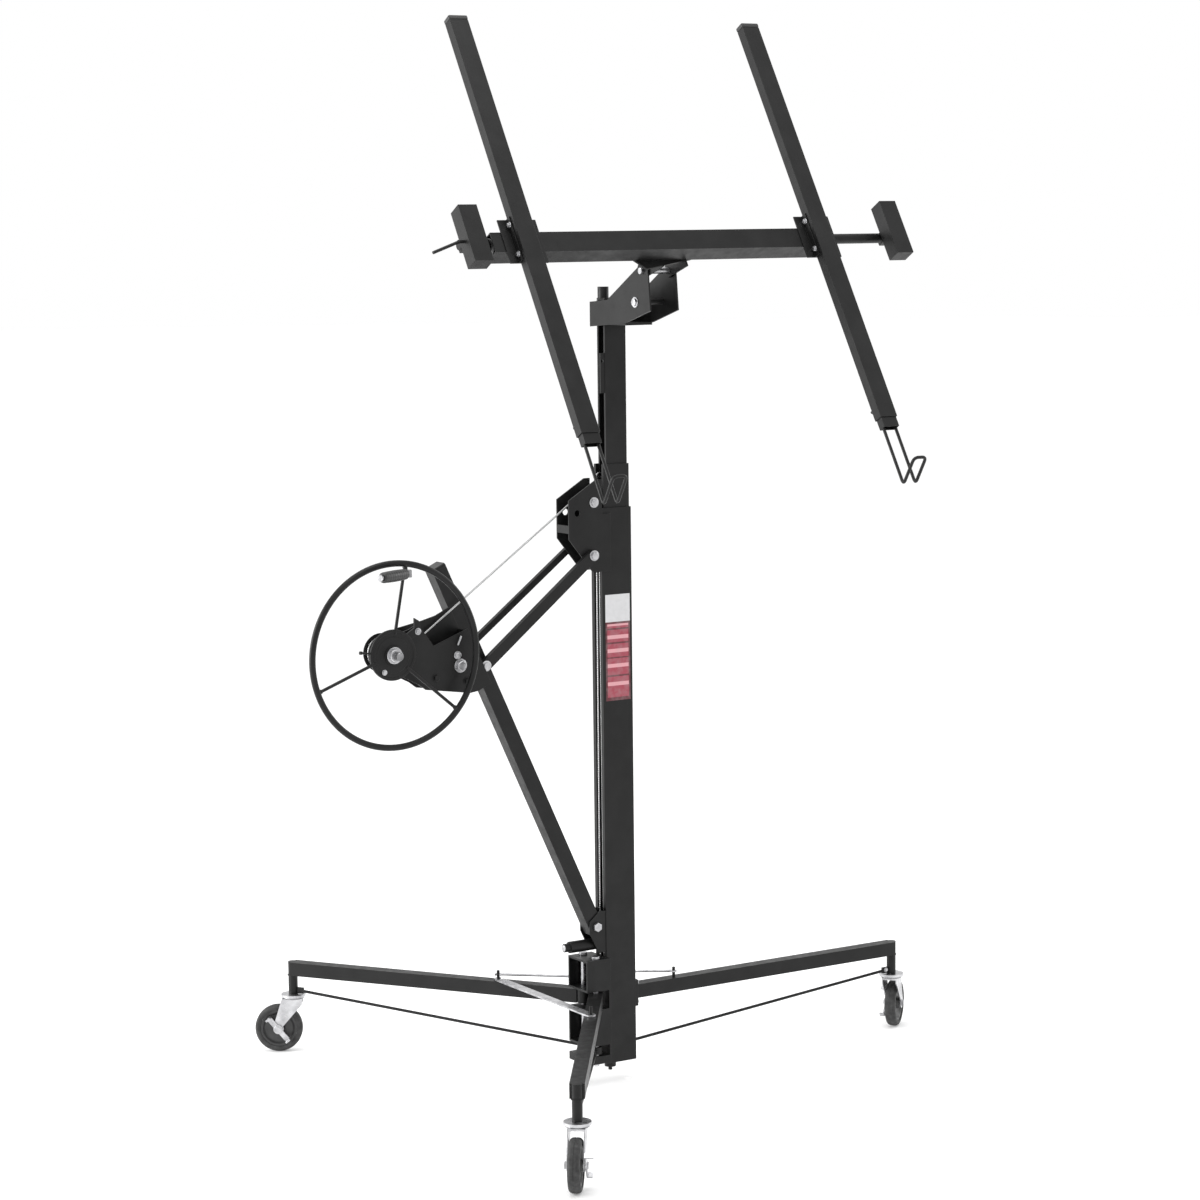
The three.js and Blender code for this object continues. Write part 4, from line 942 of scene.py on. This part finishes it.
# ---------------------------------------------------------------- cradle
def draw_hook_wire(x):
    w = (ARM["w0"] + ARM["w1"]) / 2
    low = ARM["low"] - HOOK["reach"]
    top = w + HOOK["jaw"]
    s = HOOK["spread"]
    corners = [
        (x - s, ARM["low"] - 20, w), (x - s, low, w), (x - s, low + 36, top),
        (x + s, low + 36, top), (x + s, low, w), (x + s, ARM["low"] - 20, w),
    ]
    return lambda work: swept(work, rounded_path(corners, 13), HOOK["wire"], 14)


def draw_sleeve(x):
    """The hook's rectangular sleeve, drawn along the arm."""
    def draw(work):
        rectangle_tube(work, 22.4, 10.9, 1.8, ARM["low"] - 26, ARM["low"] + 90)
        turn = Matrix.Rotation(-math.pi / 2, 4, "X")
        bmesh.ops.transform(work, matrix=turn, verts=work.verts)
        shift = (x, 0, (ARM["w0"] + ARM["w1"]) / 2)
        bmesh.ops.translate(work, vec=shift, verts=work.verts)
    return draw


def add_cradle_details():
    place = cradle_place()
    for side, name in ((-1, "left"), (1, "right")):
        x = CRADLE_X + side * ARM_SPREAD
        add_piece(f"{name}_hook_wire", f"{name}_hook", place, COAT, draw_hook_wire(x), [f"{name}_hook"])
        add_piece(f"{name}_hook_sleeve", f"{name}_hook", place, COAT, draw_sleeve(x), edge_mm=0.6)
        knob = facing(place, x, ARM["low"] + 34, ARM["w0"], (0, 0, -1))
        add_piece(f"{name}_hook_knob", "cradle", knob, BLACK,
                  lambda work: star_knob(work, 14, 18), edge_mm=1.2)
        for ear in (-1, 1):
            for v in (-30, 48):
                spot = facing(place, x + ear * (ARM["half"] + 3.4), v, ARM["w0"] + 8, (ear, 0, 0))
                add_bolt(f"{name}_saddle_bolt_{ear + 2}_{v + 31}", "cradle", spot, 10, 4)
    for end, direction in ((CROSSBAR["x0"], -1), (CROSSBAR["x1"], 1)):
        under = CROSSBAR["w"] - CROSSBAR["half"]
        spot = facing(place, end - direction * 30, CROSSBAR["v"], under, (0, 0, -1))
        add_piece(f"slide_knob_{direction + 2}", "cradle", spot, BLACK,
                  lambda work: star_knob(work, 15, 20), edge_mm=1.2)

        def draw_collar(work):
            bore, half = 13.2, CROSSBAR["half"] - 3.4
            rings = [(bore, -3, 0.5), (half, -3, 1), (half, 0, 1), (bore, 0, 0.5)]
            turned(work, bowed(rings), 40, axis="Z")

        collar = facing(place, end - direction * 1.5, CROSSBAR["v"], CROSSBAR["w"], (direction, 0, 0))
        add_piece(f"slide_collar_{direction + 2}", "cradle", collar, BLACK, draw_collar)


# ---------------------------------------------------------------- carried-over nodes
EDGE_RADIUS = {
    "crossbar": 2.5, "left_arm": 2.0, "right_arm": 2.0, "winch_tube": 2.0,
    "near_brace": 3.0, "far_brace": 2.5, "fixed_leg": 2.0, "left_leg": 2.0, "front_leg": 2.0,
    "outer_mast": 1.2, "middle_mast": 1.0, "inner_mast": 1.0, "hinge_post": 1.5, "tilt_plate": 0.8,
    "left_outrigger": 2.5, "right_outrigger": 2.5, "left_arm_cap": 3.0, "right_arm_cap": 3.0, "mast_cap": 0.8,
}
DARK_NODES = {"fixed_leg_rod", "left_leg_rod", "front_leg_rod", "head_yoke", "mast_cap"}


def finish_carried_nodes():
    """Zinc on pins, forks and rods, plastic on the arm caps, black powder coat on the rest."""
    zinc_names = ("_pin", "_rod", "_fork", "_axle", "_brake", "spreader_bar")
    for name in frame["nodes"]:
        material = COAT
        if name.endswith(zinc_names) and name not in DARK_NODES:
            material = ZINC
        elif name.endswith("arm_cap"):
            material = BLACK
        finish_node(name, material, EDGE_RADIUS.get(name, 0.6))


# ---------------------------------------------------------------- stage
def add_floor():
    work = bmesh.new()
    rings = []
    for radius in (0.01, 4, 12, 60):
        rings.append([work.verts.new((radius * a, radius * b, -0.0005)) for a, b in polygon(1, 96)])
    ring_faces(work, rings)
    bmesh.ops.recalc_face_normals(work, faces=work.faces)
    mesh = bpy.data.meshes.new("studio_floor")
    work.to_mesh(mesh)
    work.free()
    floor = bpy.data.objects.new("studio_floor", mesh)
    bpy.context.scene.collection.objects.link(floor)
    mesh.materials.append(pale_floor())


def add_light(name, at, size, watts, target=(0, 0, 1.2)):
    data = bpy.data.lights.new(name, "AREA")
    data.shape = "RECTANGLE"
    data.size, data.size_y = size
    data.energy = watts
    light = bpy.data.objects.new(name, data)
    bpy.context.scene.collection.objects.link(light)
    light.location = at
    light.rotation_euler = (Vector(target) - Vector(at)).to_track_quat("-Z", "Y").to_euler()


def add_studio():
    add_floor()
    world = bpy.data.worlds.new("studio")
    world.use_nodes = True
    world.node_tree.nodes["Background"].inputs["Color"].default_value = (1, 1, 1, 1)
    world.node_tree.nodes["Background"].inputs["Strength"].default_value = 1.0
    bpy.context.scene.world = world
    add_light("left_softbox", (-5.5, 2.5, 2.4), (3, 4), 330)
    add_light("right_softbox", (6.0, -0.5, 3.0), (2, 3), 90)
    add_light("top_softbox", (-0.5, -0.5, 6.0), (4, 4), 120)
    bpy.context.scene.view_settings.view_transform = "Standard"


def add_camera():
    heading, down, roll = (math.radians(CAMERA[key]) for key in ("heading", "down", "roll"))
    level_reach = math.cos(down)
    ahead = Vector((math.sin(heading) * level_reach, math.cos(heading) * level_reach, -math.sin(down)))
    level = Vector((math.cos(heading), -math.sin(heading), 0))
    up = level.cross(ahead)
    right = level * math.cos(roll) + up * math.sin(roll)
    top = up * math.cos(roll) - level * math.sin(roll)
    data = bpy.data.cameras.new("camera")
    data.lens = CAMERA["lens"]
    data.sensor_width = 36
    data.clip_end = 200
    camera = bpy.data.objects.new("camera", data)
    bpy.context.scene.collection.objects.link(camera)
    turn = Matrix((right, top, -ahead)).transposed().to_4x4()
    camera.matrix_world = Matrix.Translation(CAMERA["at"]) @ turn
    bpy.context.scene.camera = camera


add_camera()
add_studio()
finish_carried_nodes()
for caster in ("fixed", "left", "front"):
    add_caster(caster)
add_leg_details("fixed", "base", FIXED_LEG_REACH)
add_leg_details("left", "left_leg", SIDE_LEG_REACH.length)
add_leg_details("front", "front_leg", SIDE_LEG_REACH.length)
add_flange_bolts()
add_piece("lock_rod_bar", "lock_rod", mast_place(), ZINC, draw_lock_rod, ["lock_rod"])
add_handwheel()
add_winch_details()
add_pulleys()
add_mast_details()
add_cable()
add_cradle_details()
